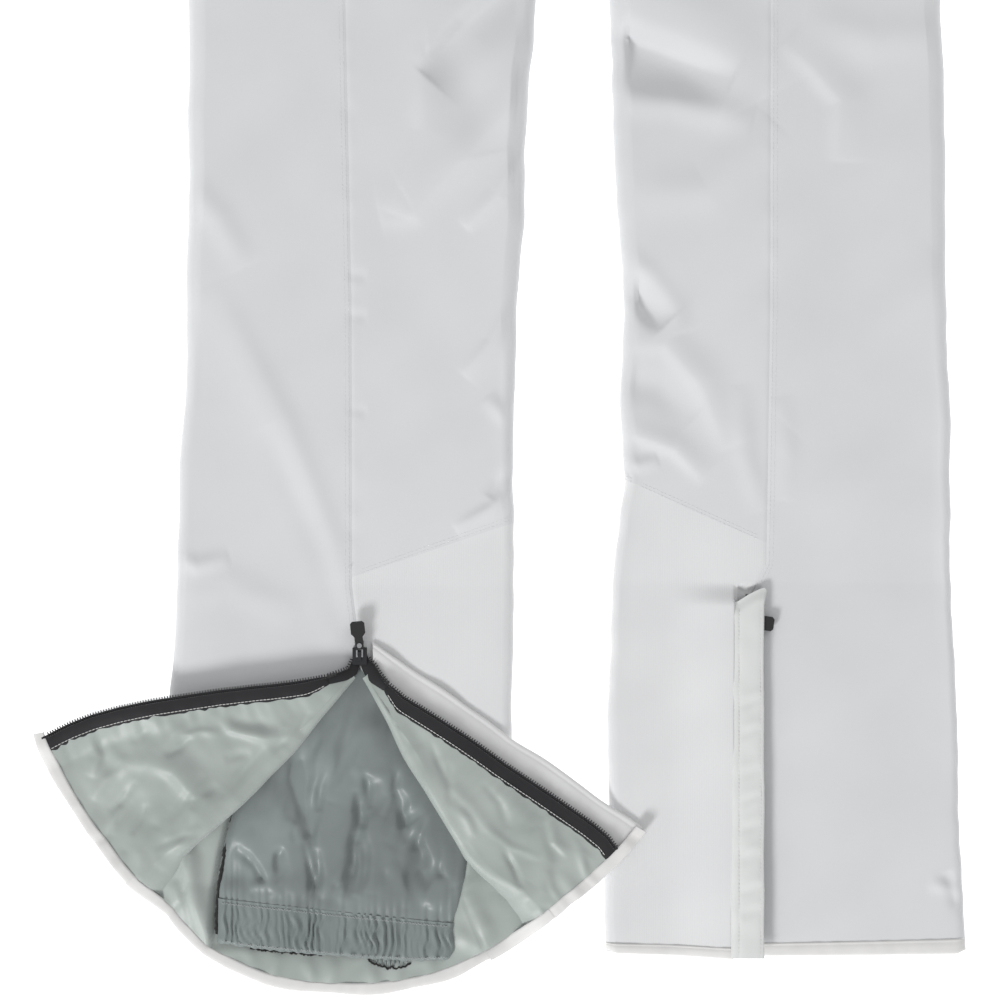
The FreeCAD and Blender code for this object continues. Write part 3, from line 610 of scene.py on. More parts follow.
def flap_height(side, x, y, r, from_teeth):
    """Height of the lining's face on an opened flap."""
    if side < 0:
        z = creases(x, y, (
            ([(-248.7, 172.9), (-238, 160.5), (-213.7, 154.2), (-190, 157)], 2.2, 5.5, 0.35),
            ([(-243, 171), (-228, 164), (-203, 161)], -1.3, 4.5),
            ([(-339.7, 156.6), (-331, 141), (-336, 126)], 2.2, 4.5, -0.3),
            ([(-328, 153), (-317, 139), (-298, 133)], 1.4, 5),
            ([(-306, 143), (-278, 131), (-259.5, 112), (-270, 87), (-287, 62)], 3.6, 9, 0.3),
            ([(-334, 110), (-303, 106), (-279, 98)], -1.8, 13),
            ([(-240, 118), (-216, 142), (-188, 160)], -1.0, 10),
            ([(-290, 92), (-302, 74), (-306, 56)], 1.6, 6),
            ([(-262, 150), (-285, 165), (-300, 166)], 0.9, 6),
        ))
        z += small_creases(x, y, 26, (-325, 62), (-190, 165), 52, 301) * smooth(10, 26, from_teeth)
        z -= 6.5 * smooth(-286, -330, x)
    else:
        z = creases(x, y, (
            ([(-64.4, 32.9), (-41.1, 32.9), (-22.4, 49.2), (-17.7, 68), (-25, 92)], 2.6, 7.5, 0.3),
            ([(-106, 173), (-76, 152), (-58, 137)], 1.7, 6.5),
            ([(-108, 150), (-86, 120), (-60, 90), (-46, 68)], 2.0, 9, -0.3),
            ([(-120, 180), (-100, 142), (-78, 110)], -1.3, 6),
            ([(-15.4, 100.6), (-13, 82), (-3, 72)], 1.8, 3.6, 0.3),
            ([(5, 77), (10.3, 56)], 1.5, 3.2),
            ([(-48, 120), (-30, 96), (-34, 74)], 1.2, 8),
            ([(-10, 62), (4, 44), (2, 30)], 1.2, 5),
        ))
        z += small_creases(x, y, 22, (-100, 30), (10, 150), 118, 302) * smooth(10, 26, from_teeth)
        z -= 1.4 * smooth(-44, -24, x) * (1 - smooth(18, 30, x))
    z += ripple(x, y, 42, 70 + side, stretch=1.6, heading=60 * side) * 0.42
    z += ripple(x, y, 17, 74 + side, stretch=2.2, heading=40 * side) * 0.13
    gather = ripple(r, r * 0, 10, 78 + side, n=10) * np.exp(-(np.abs(from_teeth - 13) / 9.0))
    z += 0.45 * gather * (from_teeth > 8)
    edge = 1 - smooth(4, 26, from_teeth)
    calm = smooth(8, 60, r)
    lift = 3.0 if side < 0 else -1.2
    return LINING_Z - 4.2 * (1 - smooth(5, 26, r)) + 1.35 * z * calm * (1 - 0.75 * edge) + lift * edge * calm


def roll_section(side, r, count):
    """The turned-over lining across the crest: offset towards the flap, and height, for each radius."""
    t = np.linspace(0, 1, count)
    s_in = np.interp(t, [0, 0.18, 0.36, 0.52, 0.7, 0.86, 1], [5.5, 0.5, -3.6, -4.8, -3.9, -1.2, 3.0])
    z_in = np.interp(t, [0, 0.18, 0.36, 0.52, 0.7, 0.86, 1], [9.6, 10.3, 12.8, 16.6, 20.4, 22.6, 23.2])
    s_out = np.interp(t, [0, 0.25, 0.5, 0.75, 1], [-15, -9, -4.5, 0.5, 8])
    z_out = np.interp(t, [0, 0.25, 0.5, 0.75, 1], [3.3, 6.2, 12.5, 19.2, 23.2])
    e = smooth(150, 206, r)[:, None]
    g = (0.4 + 0.6 * smooth(12, 60, r))[:, None]
    wave = 1 + 0.12 * ripple(r, r * 0, 60, 81 + side)[:, None]
    s = (1 - e) * s_in[None] * g * wave + e * s_out[None]
    z = (1 - e) * (LINING_Z - (LINING_Z - z_in[None]) * (0.75 + 0.25 * g)) + e * z_out[None]
    return s, z


def normal_of(side, angle):
    """Level direction across a line at this angle, towards the flap."""
    a = np.radians(angle)
    return np.stack([-side * np.sin(a), side * np.cos(a)], -1)


def flap_lining_points(side, rows, roll, wide, margin=HEM_WIDTH):
    """The lining of a flap, from under its crest over the fold to the teeth."""
    u = np.linspace(0, 1, rows)
    angle = np.full(rows, 227.0 if side < 0 else 301.0)
    for _ in range(4):
        r = radius_at(u, angle, margin)
        angle = bent(CREST[side], r)
    s, z = roll_section(side, r, roll)
    n, centre = normal_of(side, angle), polar(angle, r)
    rolled = centre[:, None] + s[..., None] * n[:, None]
    first = s[:, -1] / np.maximum(r, 12)
    cols = []
    for v in np.linspace(0, 1, wide)[1:]:
        a = angle
        rr = r
        for _ in range(4):
            c = bent(CREST[side], rr) + side * np.degrees(first)
            a = c + v * (flap_angle(side, rr, tape_width(rr) - 1.5) - c)
            rr = radius_at(u, a, margin)
        cols.append((rr, a))
    rr = np.stack([c[0] for c in cols], 1)
    aa = np.stack([c[1] for c in cols], 1)
    xy = polar(aa, rr)
    from_teeth = np.abs(np.radians(aa - bent(TEETH[side], rr))) * rr
    top = flap_height(side, xy[..., 0], xy[..., 1], rr, from_teeth)
    at_roll = flap_height(side, rolled[:, -1, 0], rolled[:, -1, 1], r, np.full(rows, 60.0))
    z = z + (at_roll - LINING_Z)[:, None] * smooth(0.1, 1, np.linspace(0, 1, roll))[None]
    return np.concatenate([lifted(rolled, z), lifted(xy, top)], 1)


def fold_blend(o):
    """Bakes the sheet's placement into its mesh."""
    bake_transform(o)


ROWS = 116
SPREAD = 72


def flaps():
    """Lining and shell of both hem flaps."""
    for side, word in ((-1, "outer"), (1, "inner")):
        pts = flap_lining_points(side, ROWS, ROLL_COLUMNS, SPREAD)
        o = surface(f"{word}_flap_lining_cloth", pts, LINING, None, flip=side > 0, slot="lining_fabric",
            replaces=(f"{word}_flap_lining",))
        fold_blend(o)

        # shell under the lining, turning over inside the same fold
        under = flap_lining_points(side, ROWS, ROLL_COLUMNS, SPREAD // 2, margin=0.6)
        t = np.linspace(0, 1, ROLL_COLUMNS)
        roll = under[:, :ROLL_COLUMNS]
        r = np.linalg.norm(roll[:, -1, :2] - APEX, axis=1)
        angle = bent(CREST[side], r)
        at = [0, 0.3, 0.55, 0.8, 1]
        open_wide = smooth(14, 60, r)[:, None]
        s = np.interp(t, at, [3.0, -1.2, -2.6, -1.2, 3.0])[None] * (0.15 + 0.85 * open_wide)
        zz = np.interp(t, at, [13.2, 14.2, 17.0, 19.8, 20.9])[None]
        zz = 20.2 + (zz - 20.2) * (0.3 + 0.7 * open_wide) - (4.2 * (1 - smooth(5, 26, r)))[:, None]
        base = polar(angle, r)
        mid = lifted(base[:, None] + s[..., None] * normal_of(side, angle)[:, None], zz)
        e = smooth(135, 160, r)[:, None, None]
        across = np.concatenate([normal_of(side, angle), np.full((len(r), 1), -0.12)], 1)[:, None]
        last = smooth(0.6, 1.0, t)[None, :, None]
        sloped = roll + CLOTH_GAP * ((1 - last) * across + last * np.array([0, 0, -1.0]))
        mid = (1 - e) * mid + e * sloped
        flat = under[:, ROLL_COLUMNS:].copy()
        flat[..., 2] -= CLOTH_GAP
        keep = r < 219
        o = surface(f"{word}_flap_shell_cloth", np.concatenate([mid, flat], 1)[keep], SHELL, None,
            flip=side < 0,
            slot="shell_fabric", replaces=(f"{word}_flap_shell", f"{word}_flap_fold"))
        fold_blend(o)


def line_on_flap(side, inset, u, margin=HEM_WIDTH, up=0.0):
    """A line along a flap, inset mm inside its teeth."""
    a = np.full(len(u), 190.0 if side < 0 else 327.0)
    for _ in range(4):
        r = radius_at(u, a, margin)
        a = flap_angle(side, r, inset if np.ndim(inset) else inset * tape_width(r) / 12)
    xy = polar(a, r)
    z = flap_height(side, xy[:, 0], xy[:, 1], r, np.abs(np.radians(a - bent(TEETH[side], r))) * r)
    return lifted(xy, z + up)


def tooth_row(path, outward, pitch, length, width, height):
    """Small tapered teeth standing out from a 3-D path."""
    seg = np.linalg.norm(np.diff(path, axis=0), axis=1)
    at = np.concatenate([[0], np.cumsum(seg)])
    verts, faces = [], []
    for k in range(int(at[-1] / pitch)):
        q = (k + 0.5) * pitch
        p = np.array([np.interp(q, at, path[:, i]) for i in range(3)])
        t = np.array([np.interp(q + 0.3, at, path[:, i]) for i in range(3)]) - p
        t /= np.linalg.norm(t) + 1e-9
        o = outward * np.cross(t, [0, 0, 1.0])
        base = len(verts)
        for reach, w, h in ((-0.4, 1.0, 1.0), (0.55, 1.0, 1.0), (1.0, 0.7, 0.6)):
            for a, b in ((-1, -1), (1, -1), (1, 1), (-1, 1)):
                verts.append(p + o * reach * length + t * a * width / 2 * w
                    + np.array([0, 0, b * height / 2 * h]))
        for i in range(2):
            for j in range(4):
                n = (j + 1) % 4
                faces.append([base + i * 4 + j, base + i * 4 + n, base + (i + 1) * 4 + n,
                    base + (i + 1) * 4 + j])
        faces.append([base + 8, base + 9, base + 10, base + 11])
        faces.append([base + 3, base + 2, base + 1, base])
    return np.array(verts), faces


def band_section(width):
    """A turned hem across its width: over the lining, round the outer edge and a little way back."""
    return np.array([(0, 0.1), (0.35, 0.75), (1.6, 1.0), (width * 0.6, 1.1), (width - 1.2, 0.95),
        (width - 0.25, 0.35),
        (width, -0.6), (width - 0.5, -1.9), (width * 0.6, -2.3)])


def zips():
    """Tape, teeth, cord and stitches of the open zip."""
    for side, word in ((-1, "outer"), (1, "inner")):
        u = np.linspace(0.045, 1, 150)
        lines = [line_on_flap(side, k, u, margin=5.5, up=0.5) for k in (0, 1.2, 2.4, 4, 6, 8, 10, 12)]
        uneven = 0.35 * ripple(u * 220, u * 0, 9, 91 + side)[:, None]
        lines[-1][:, :2] += uneven * normal_of(side, np.full(150, 208.0 if side < 0 else 314.0))
        tape = np.stack(lines, 1)
        tape[:, :2, 2] += 0.5
        tape[:, -1, 2] -= 0.35
        surface(f"{word}_tape_weave", tape, TAPE, BODY[side], flip=side < 0, slot="zip_tape",
            replaces=(f"{word}_zip_tape",))
        edge = line_on_flap(side, 0.4, u, margin=HEM_WIDTH, up=1.25)
        v, f = tooth_row(edge, -side, 1.9, 1.9, 0.9, 1.5)
        piece(f"{word}_teeth", v, f, COIL, BODY[side], slot="zip_coil", replaces=(f"{word}_zip_coil",),
            shade=False)
        v, f = beads([line_on_flap(side, 1.9, u, margin=9, up=1.15)], 1.5, 1.4, 0.5)
        piece(f"{word}_teeth_cord", v, f, COIL, BODY[side], slot="zip_coil")
        v, f = beads([line_on_flap(side, 10.3, u[8:], margin=9, up=0.8)], 2.6, 2.3, 0.3)
        piece(f"{word}_tape_stitch", v, f, THREAD, BODY[side], slot="zip_tape")


def apex_tapes():
    """The tapes' last few millimetres, turning up into the slider at the apex."""
    for side, word in ((-1, "outer"), (1, "inner")):
        if side < 0:
            out = [(-152.9, 214.5, 16.2), (-153.4, 208, 16.8), (-156.2, 202.4, 19.0), (-162, 200.3, 21.6),
                (-170, 198.9, 23.6)]
            inn = [(-148.0, 214.5, 15.8), (-148.2, 205, 16.0), (-150.4, 198.0, 17.4), (-157.0, 194.2, 20.4),
                (-166, 192.2, 22.9)]
        else:
            out = [(-143.9, 214.5, 16.2), (-142.2, 209, 16.8), (-138.2, 205.6, 18.6), (-134.6, 199.4, 21.0),
                (-128.8, 193.2, 22.8)]
            inn = [(-148.6, 214.5, 15.8), (-148.2, 205, 16.0), (-145.4, 198.6, 17.4), (-140.6, 192.6, 20.0),
                (-134.2, 187.8, 22.2)]
        ends = np.array([0.075])
        out[-1] = tuple(line_on_flap(side, 0, ends, margin=5.5, up=0.7)[0])
        inn[-1] = tuple(line_on_flap(side, 12, ends, margin=5.5, up=0.3)[0])
        t, u = np.linspace(0, 4, 26), np.linspace(0, 1, 7)
        a = np.stack([np.interp(t, range(5), np.array(out)[:, k]) for k in range(3)], -1)
        b = np.stack([np.interp(t, range(5), np.array(inn)[:, k]) for k in range(3)], -1)
        for line in (a, b):
            line[1:-1] = (line[:-2] + 2 * line[1:-1] + line[2:]) / 4
        grid = a[:, None] + (b - a)[:, None] * u[None, :, None]
        grid[..., 2] += 0.9 * np.sin(math.pi * u)[None] + 0.3
        surface(f"{word}_tape_end", grid, TAPE, BODY[side], flip=side < 0, slot="zip_tape")
        v, f = tooth_row(a[5:] + np.array([0, 0, 0.5]), -side, 2.0, 2.0, 0.95, 1.5)
        piece(f"{word}_teeth_end", v, f, COIL, BODY[side], slot="zip_coil", shade=False)


def hem_piece(name, angles, heights, radius, body, replaces=(), seed=0):
    """A length of hem round the apex; heights is the lining's height at its inner edge."""
    sec = band_section(HEM_WIDTH)
    wob = 1 + 0.05 * ripple(angles * 4, angles * 0, 60, 100 + seed)
    r = (radius - HEM_WIDTH)[:, None] + sec[None, :, 0] * wob[:, None]
    xy = polar(angles[:, None], r)
    z = heights[:, None] + sec[None, :, 1] * (0.9 + 0.1 * wob[:, None])
    z = z + 0.12 * ripple(angles * 4, angles * 0, 14, 110 + seed)[:, None]
    return surface(name, lifted(xy, z), HEM, body, flip=True, slot="shell_fabric",
        replaces=replaces)


def hems():
    """Turned hems round the opened leg."""
    # flap hems
    for side, word, a0, a1 in ((-1, "outer", 191.2, 222.5), (1, "inner", 308.2, 330.4)):
        a = np.linspace(a0, a1, 90)
        radius = bent(HEM_R, a)
        r = radius - HEM_WIDTH
        xy = polar(a, r)
        d = np.abs(np.radians(a - bent(TEETH[side], r))) * r
        z = flap_height(side, xy[:, 0], xy[:, 1], r, d)
        if side > 0:
            z = z - 2.6 * smooth(326.4, 329, a)
        hem_piece(f"{word}_hem_fold", a, z + 0.1, radius, BODY[side], (f"{word}_flap_hem_band",), seed=side)
        # the stretch where the hem drops from the flap to the back
        b = np.linspace(a1, 233.0, 24) if side < 0 else np.linspace(294.0, a0, 30)
        t = smooth(222.5, 232, b) if side < 0 else 1 - smooth(297, 308.2, b)
        end = z[-1] if side < 0 else z[0]
        zz = end + (3.4 - end) * t
        o = hem_piece(f"{word}_hem_turn", b, zz + 0.1, bent(HEM_R, b), None, seed=7 + side)
        fold_blend(o)
    a = np.linspace(232.6, 294.4, 160)
    z = 3.4 + 0.5 * ripple(a * 4, a * 0, 70, 121)
    hem_piece("left_back_hem", a, np.maximum(z, 2.7), bent(HEM_R, a), "garment", ("left_hem_band",), seed=3)


def back_lining():
    """Lining of the opened leg's back, with the shell under it."""
    rows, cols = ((70, 150))
    a = np.linspace(226, 305, cols)
    u = np.linspace(0, 1, rows)[:, None]
    r = 70 + u * (bent(HEM_R, a)[None] - 8.0 - 70)
    xy = polar(np.broadcast_to(a, r.shape), r)
    x, y = xy[..., 0], xy[..., 1]
    z = 3.4 + 3.2 * smooth(40, 12, np.minimum(a - 226, 305 - a)[None] * 1.6) * smooth(226, 200, r)
    z += creases(x, y, (
        ([(-272, 70), (-264, 35), (-251, -6)], 5.5, 6.5, 0.3, 0.8),
        ([(-286, 36), (-272, 14), (-258, 0)], 3.2, 5, -0.3, 0.5),
        ([(-279, 52), (-274, 34), (-270, 20)], 2.2, 4),
        ([(-84, 20), (-70, 8), (-58, 2)], 2.0, 6),
        ([(-74, 44), (-62, 20), (-56, 0)], 2.4, 7),
    ))
    for k, (px, py) in enumerate(((-228, -4), (-206, -10), (-186, -14), (-166, -16), (-142, -17),
            (-121, -18), (-100, -14))):
        z += crease(x, y, [(px, py + 12), (px + 3 * (-1) ** k, py - 2), (px - 2, py - 12)],
            1.3 + 0.4 * (k % 3), 4.5)
    z += np.abs(ripple(x, y, 30, 131, stretch=1.5, heading=70)) * 0.5
    seam = np.minimum(np.abs(path_field(x, y, [(-270, 70), (-269.5, 50), (-276, 36), (-287, 26)])[0]),
        np.abs(path_field(x, y, [(-76, 40), (-66, 16), (-58, -5)])[0]))
    z -= 0.9 * np.exp(-((seam / 1.2) ** 2))
    z = 3.4 + (z - 3.4) * 1.35
    y_tab, x_left, x_right = GAITER_EDGE.T
    from_left, from_right = x - np.interp(y, y_tab, x_left), np.interp(y, y_tab, x_right) - x
    under = smooth(-7, -3, from_left) * smooth(0, 4, from_right) * smooth(0, 8, y)
    z = z * (1 - under) + 2.7 * under
    z = np.maximum(z * smooth(240, 212, r) + 3.4 * (1 - smooth(240, 212, r)), 2.6)
    surface("left_back_lining", joined(x, y, z), LINING, "garment", flip=True, slot="lining_fabric",
        replaces=("left_lining",))
    r = 60 + u[::3] * (bent(HEM_R, a)[None] - 1.0 - 60)
    xy = polar(np.broadcast_to(a, r.shape), r)
    surface("left_back_fan", lifted(xy, np.full(xy.shape[:-1], 0.9)), SHELL, "garment", slot="shell_fabric")


# height up the leg: left and right edges of the lying gaiter
GAITER_EDGE = np.array([(-10, -249, -84), (24, -248.8, -83), (47, -247.5, -76), (73, -243, -71),
    (104, -235, -66),
    (120, -231, -66), (150, -222, -70), (214, -205, -78)], float)


def gaiter_z(x, y):
    """Creases of the gaiter's front."""
    z = creases(x, y, (
        ([(-206, 83), (-196, 72), (-191, 58), (-197, 44)], 2.6, 5, 0.4),
        ([(-231, 86), (-215, 68), (-209, 51), (-223, 42)], 2.2, 6),
        ([(-199, 152), (-188, 100), (-178, 60), (-167, 24)], -2.2, 6.5, 0.3),
        ([(-163, 106), (-170, 85), (-166, 60), (-163, 36)], 2.6, 8, -0.35),
        ([(-112, 94), (-93, 70), (-80, 50)], 2.4, 7, 0.3),
        ([(-155, 132), (-124, 125)], 1.0, 4),
        ([(-226, 47), (-213, 51), (-207, 45), (-217, 38)], 1.8, 3.2),
        ([(-100, 34), (-96, 45), (-90, 56)], 1.8, 4),
        ([(-140, 44), (-138, 62), (-128, 78)], 1.4, 6),
        ([(-246, 92), (-226, 100), (-212, 96)], 1.2, 6),
    ))
    z += small_creases(x, y, 24, (-232, 36), (-88, 150), 84, 303)
    z += creases(x, y, (
        ([(-236, 76), (-222, 64), (-216, 52), (-226, 40)], -1.6, 3.5),
        ([(-186, 84), (-180, 60), (-176, 40)], 1.9, 4, 0.4),
        ([(-150, 100), (-146, 72), (-152, 44)], -1.8, 6),
        ([(-128, 66), (-118, 46), (-116, 34)], 1.5, 4.5),
        ([(-104, 84), (-106, 60), (-98, 44)], -1.5, 5),
    ))
    z += ripple(x, y, 38, 141, stretch=2.0, heading=80) * 0.8 + ripple(x, y, 15, 142, stretch=2.0,
        heading=75) * 0.28
    return z


def cuff_line(x, top):
    """Upper or lower edge of the gaiter's cuff."""
    return np.interp(x, [-248.5, -84], [39.9, 22.4]) if top else np.interp(x,
        [-248.5, -225, -180, -143, -110, -88],
        [8.4, 5.0, 0.6, -2.4, -3.9, -3.2])


def gather_field(x):
    """Uneven gathers along the elastic."""
    warped = x + 0.9 * ripple(x, x * 0, 19, 151, n=8)
    g = np.sin(warped * math.tau / 5.4 + 0.8 * ripple(x, x * 0, 31, 152, n=8))
    return (g + 0.25 * np.sin(warped * math.tau / 2.9)) * (0.7 + 0.25 * ripple(x, x * 0, 24, 153, n=8))


def rounded_edge(x, left, right, z_top, low=3.0, reach=7.0):
    """Lets a flattened tube's face roll down at both edges."""
    d = np.clip(np.minimum(x - left, right - x) / reach, 0, 1)
    return low + (z_top - low) * np.sqrt(1 - (1 - d) ** 2)


def gaiters():
    """The opened leg's gaiter, its cuff, stitches, overlocked side seam and dark beads along the cuff's lower
    edge.
    """
    rows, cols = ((120, 170))
    ys = np.linspace(214, 24, rows)
    tab = GAITER_EDGE
    left, right = np.interp(ys, tab[:, 0], tab[:, 1]), np.interp(ys, tab[:, 0], tab[:, 2])
    t = np.linspace(0, 1, cols)
    shift = 0.5 - 0.5 * np.cos(t * math.pi)
    t = 0.5 * t + 0.5 * shift
    x = left[:, None] + (right - left)[:, None] * t[None]
    low = cuff_line(x, True)
    y = low + (ys[:, None] - 24) / 190 * (214 - low)
    dome = 9.2 + 2.2 * np.sin(math.pi * t)[None] - 1.6 * smooth(120, 200, y)
    g = gather_field(x) * 0.75 * np.exp(-np.maximum(y - low, 0) / 13.0)
    z = dome + 2.3 * gaiter_z(x, y) * smooth(0, 18, y - low) * (1 - 0.5 * smooth(120, 190, y)) + g
    dx, dy = x - APEX[0], y - APEX[1]
    turn, r = np.degrees(np.arctan2(dy, dx)) % 360, np.hypot(dx, dy)
    inside = np.radians(np.minimum(turn - 228, 300 - turn)) * r
    cap = 10.3 + 2.2 * smooth(1, 20, inside)
    z = np.where(z > cap - 1.5, cap - 1.5 * np.exp(-np.maximum(z - cap + 1.5, 0) / 1.5), z)
    z = np.maximum(z, 5.2)
    z = rounded_edge(x, left[:, None], right[:, None], z, low=4.6)
    surface("left_gaiter_cloth", joined(x, y, z), GAITER, "garment", slot="gaiter_fabric", flip=True,
        replaces=("left_gaiter",))

    cols = 330
    rows = 16
    x = np.linspace(-249.3, -82.5, cols)
    s = np.linspace(0, 1, rows)[:, None]
    top, bottom = cuff_line(x, True) + 0.6, cuff_line(x, False)
    bottom = bottom + 5 * smooth(-87.5, -82.5, x) * 0.9
    y = top + (bottom - top) * s + 0.35 * ripple(x, s * 20, 7, 161) * (s > 0.9)
    g = gather_field(x + 1.3 * ripple(x + y * 0, y * 1.4, 22, 155)) * (0.6 + 0.5
        * np.sin(math.pi * np.clip(s, 0, 1)))
    rolls = 1 - 0.55 * np.exp(-(((s - 0.1) / 0.05) ** 2)) - 0.5 * np.exp(-(((s - 0.93) / 0.04) ** 2))
    z = 9.6 + 1.6 * np.sin(math.pi * (x + 249.3) / 166.8)[None] + 1.15 * g * rolls - 5.0 * smooth(0.94, 1.0,
        s) ** 2
    z = z - 0.45 * np.exp(-(((s - 0.1) / 0.04) ** 2)) + 0.3
    z = rounded_edge(x[None], -249.4, -82.3, z, reach=5.0)
    surface("left_cuff", joined(x, y, z), CUFF, "garment", flip=True,
        slot="elastic", replaces=("left_gaiter_elastic",))
    # underside of the gaiter and cuff
    xs = np.linspace(0, 1, 24)
    ys = np.linspace(0, 1, 30)[:, None]
    lx = np.interp(214 - 214 * ys, tab[:, 0], tab[:, 1])
    rx = np.interp(214 - 214 * ys, tab[:, 0], tab[:, 2])
    ux = lx + (rx - lx) * xs
    uy = 214 + (cuff_line(ux, False) + 1 - 214) * ys
    uz = 2.7 + 0.35 * np.sin(xs * math.pi)[None] + ys * 0
    surface("left_gaiter_back", joined(ux, uy, uz), GAITER, "garment", slot="gaiter_fabric")
    # zig-zag rows holding the elastic, and dark beads along the cuff's lower edge that sag below it in the
    # middle stretch
    for share in (0.07, 0.91):
        px = np.arange(-245.5, -87, 1.0)
        row = cuff_line(px, True) + (cuff_line(px, False) - cuff_line(px, True)) * share
        rise = 0.75 * gather_field(px) * (0.7 if share < 0.5 else 0.55)
        zz = 9.6 + 1.6 * np.sin(math.pi * (px + 249.3) / 166.8) + rise + 0.35
        zig = np.stack([px, row + 0.55 * (-1) ** np.arange(len(px)), zz], -1)
        v, f = beads([zig], 1.25, 1.2, 0.26)
        piece("cuff_stitch_top" if share < 0.5 else "cuff_stitch_low", v, f, CUFF_THREAD, "garment",
            slot="elastic")
    rng = np.random.default_rng(171)
    paths = []
    for x0, x1 in ((-226, -175), (-143, -112)):
        px = np.arange(x0, x1, 0.9)
        drop = np.full(len(px), -0.6) if x0 < -200 else -1.0 - 5.0 * np.sin(math.pi
            * (px - x0) / (x1 - x0)) ** 0.7
        paths.append(np.stack([px, cuff_line(px, False) + drop + rng.normal(0, 0.5, len(px)),
            4.6 + rng.normal(0, 0.5, len(px))], -1))
    v, f = beads(paths, 1.2, 1.8, 0.75)
    piece("cuff_overlock", v, f, DARK_THREAD, "garment", slot="elastic")
    # a gathered lump of elastic end showing under the cuff
    a = np.linspace(-143, -113, 60)
    s = np.linspace(0, 1, 7)[:, None]
    depth = 6.0 * np.sin(math.pi * (a + 143) / 30) ** 0.6 * (0.8 + 0.2 * np.sin(a * 1.9))
    y = cuff_line(a, False) + 0.5 - depth * s
    z = 5.2 + 1.3 * np.sin(a * 2.1)[None] * np.sin(math.pi * s) - 1.6 * s
    surface("cuff_elastic_end", joined(a, y, z), CUFF, "garment", flip=True,
        slot="elastic")
    # dark overlocked side seam
    y = np.linspace(128, 15, 120)
    x = np.interp(y, tab[:, 0], tab[:, 1]) - 0.2
    w = 2.0 + 0.9 * smooth(60, 100, y)
    strip = np.stack([joined(x - w, y, 4.4), joined(x - w * 0.6, y, 6.4),
        joined(x + 0.1, y, 7.2), joined(x + 1.0, y, 5.0)], 1)
    strip[..., :2] += 0.22 * ripple(strip[..., 1], strip[..., 0], 5, 172)[..., None]
    surface("gaiter_overlock", strip, DARK_THREAD, "garment", slot="gaiter_fabric")


def left_storm():
    """The strip beyond the inner flap's teeth, lying under them."""
    n = 130
    t = np.linspace(0, 1, n)[:, None]
    outer = np.array([-139.0, 221.0]) + t * (np.array([49.5, 91.0]) - np.array([-139.0, 221.0]))
    outer = outer + 0.4 * np.stack([ripple(t[:, 0] * 230, t[:, 0] * 0, 60, 181)] * 2, -1)
    u = 0.02 + 0.98 * t[:, 0]
    root = line_on_flap(1, 11.0, u, margin=3.0)
    inner = root[:, :2]
    across = np.array([0, 0.35, 0.6, 0.78, 0.845, 0.87, 0.9, 0.97, 1.0, 0.985, 0.9])
    zs = np.array([19.7, 20.2, 19.8, 18.7, 18.3, 17.85, 18.2, 17.6, 16.9, 16.2, 16.3])
    xy = inner[:, None] + (outer - inner)[:, None] * across[None, :, None]
    z = zs[None] + 0.35 * ripple(xy[..., 0], xy[..., 1], 40, 182)
    z += np.minimum(root[:, 2] - 23.4, 0)[:, None] * (1 - across[None] * 0.6)
    surface("left_storm_strip", lifted(xy, z), HEM_LIGHT, "inner_flap",
        slot="shell_fabric", replaces=("left_storm_flap",))


# ---- the closed leg's hem ----------------------------------------------------------------------
def right_storm():
    """The storm flap over the closed zip."""
    rows = 190
    section = np.array([(111.0, 18.2), (111.8, 19.3), (113.6, 20.0), (115.6, 20.45), (116.2, 20.35),
        (116.8, 20.7),
        (119.5, 21.15), (122.5, 21.45), (125.5, 21.6), (128.5, 21.6), (130.6, 21.5), (131.3, 21.25),
        (132.0, 21.35), (133.2, 21.1), (133.9, 20.5), (133.3, 19.9), (125, 20.1), (115.2, 19.6)])
    t = np.linspace(0, 1, rows)[:, None]
    x0 = section[None, :, 0]
    top = np.interp(x0, [113, 116.4, 122, 129.3, 132.5, 134], [248.5, 249.5, 253.5, 258, 259, 256])
    y = 0.2 + (top - 0.2) * t
    x = x0 + (2.2 * smooth(246, 258, y)) * smooth(120, 134, x0) + 0.25 * ripple(y, x0 * 0, 50,
        201) * smooth(118, 134, x0)
    z = section[None, :, 1] - 2.4 * smooth(0.965, 1.0, t)
    dent = 0
    for k, yk in enumerate((178, 157, 129, 110, 91, 70, 47, 31)):
        dent = dent + crease(x, y, [(117.5, yk - 3), (125, yk + 1 + k % 2), (131, yk + 5)], -0.75,
            2.6 + 0.5 * (k % 3), end=0.4)
        dent = dent + crease(x, y, [(118, yk + 4), (126, yk + 8), (130.5, yk + 11)], 0.35, 3.2)
    z = z + dent * ((x0 > 116.8) & (x0 < 131.2) & (section[None, :, 1] > 21)) + 0.12 * ripple(x, y, 22, 202)
    surface("right_storm_cloth", joined(x, y, z), STORM, "right_storm", flip=True,
        slot="shell_fabric", replaces=("right_storm_flap",))
    ys = np.arange(3, 247, 1.0)
    lines = [joined(116.2, ys, 20.5),
        np.stack([131.3 + 0.25 * ripple(ys, ys * 0, 50, 201), ys, np.full_like(ys, 21.25)], -1)]
    v, f = beads(lines, 2.8, 2.4, 0.26)
    piece("right_storm_stitch", v, f, THREAD, "right_storm", slot="shell_fabric")


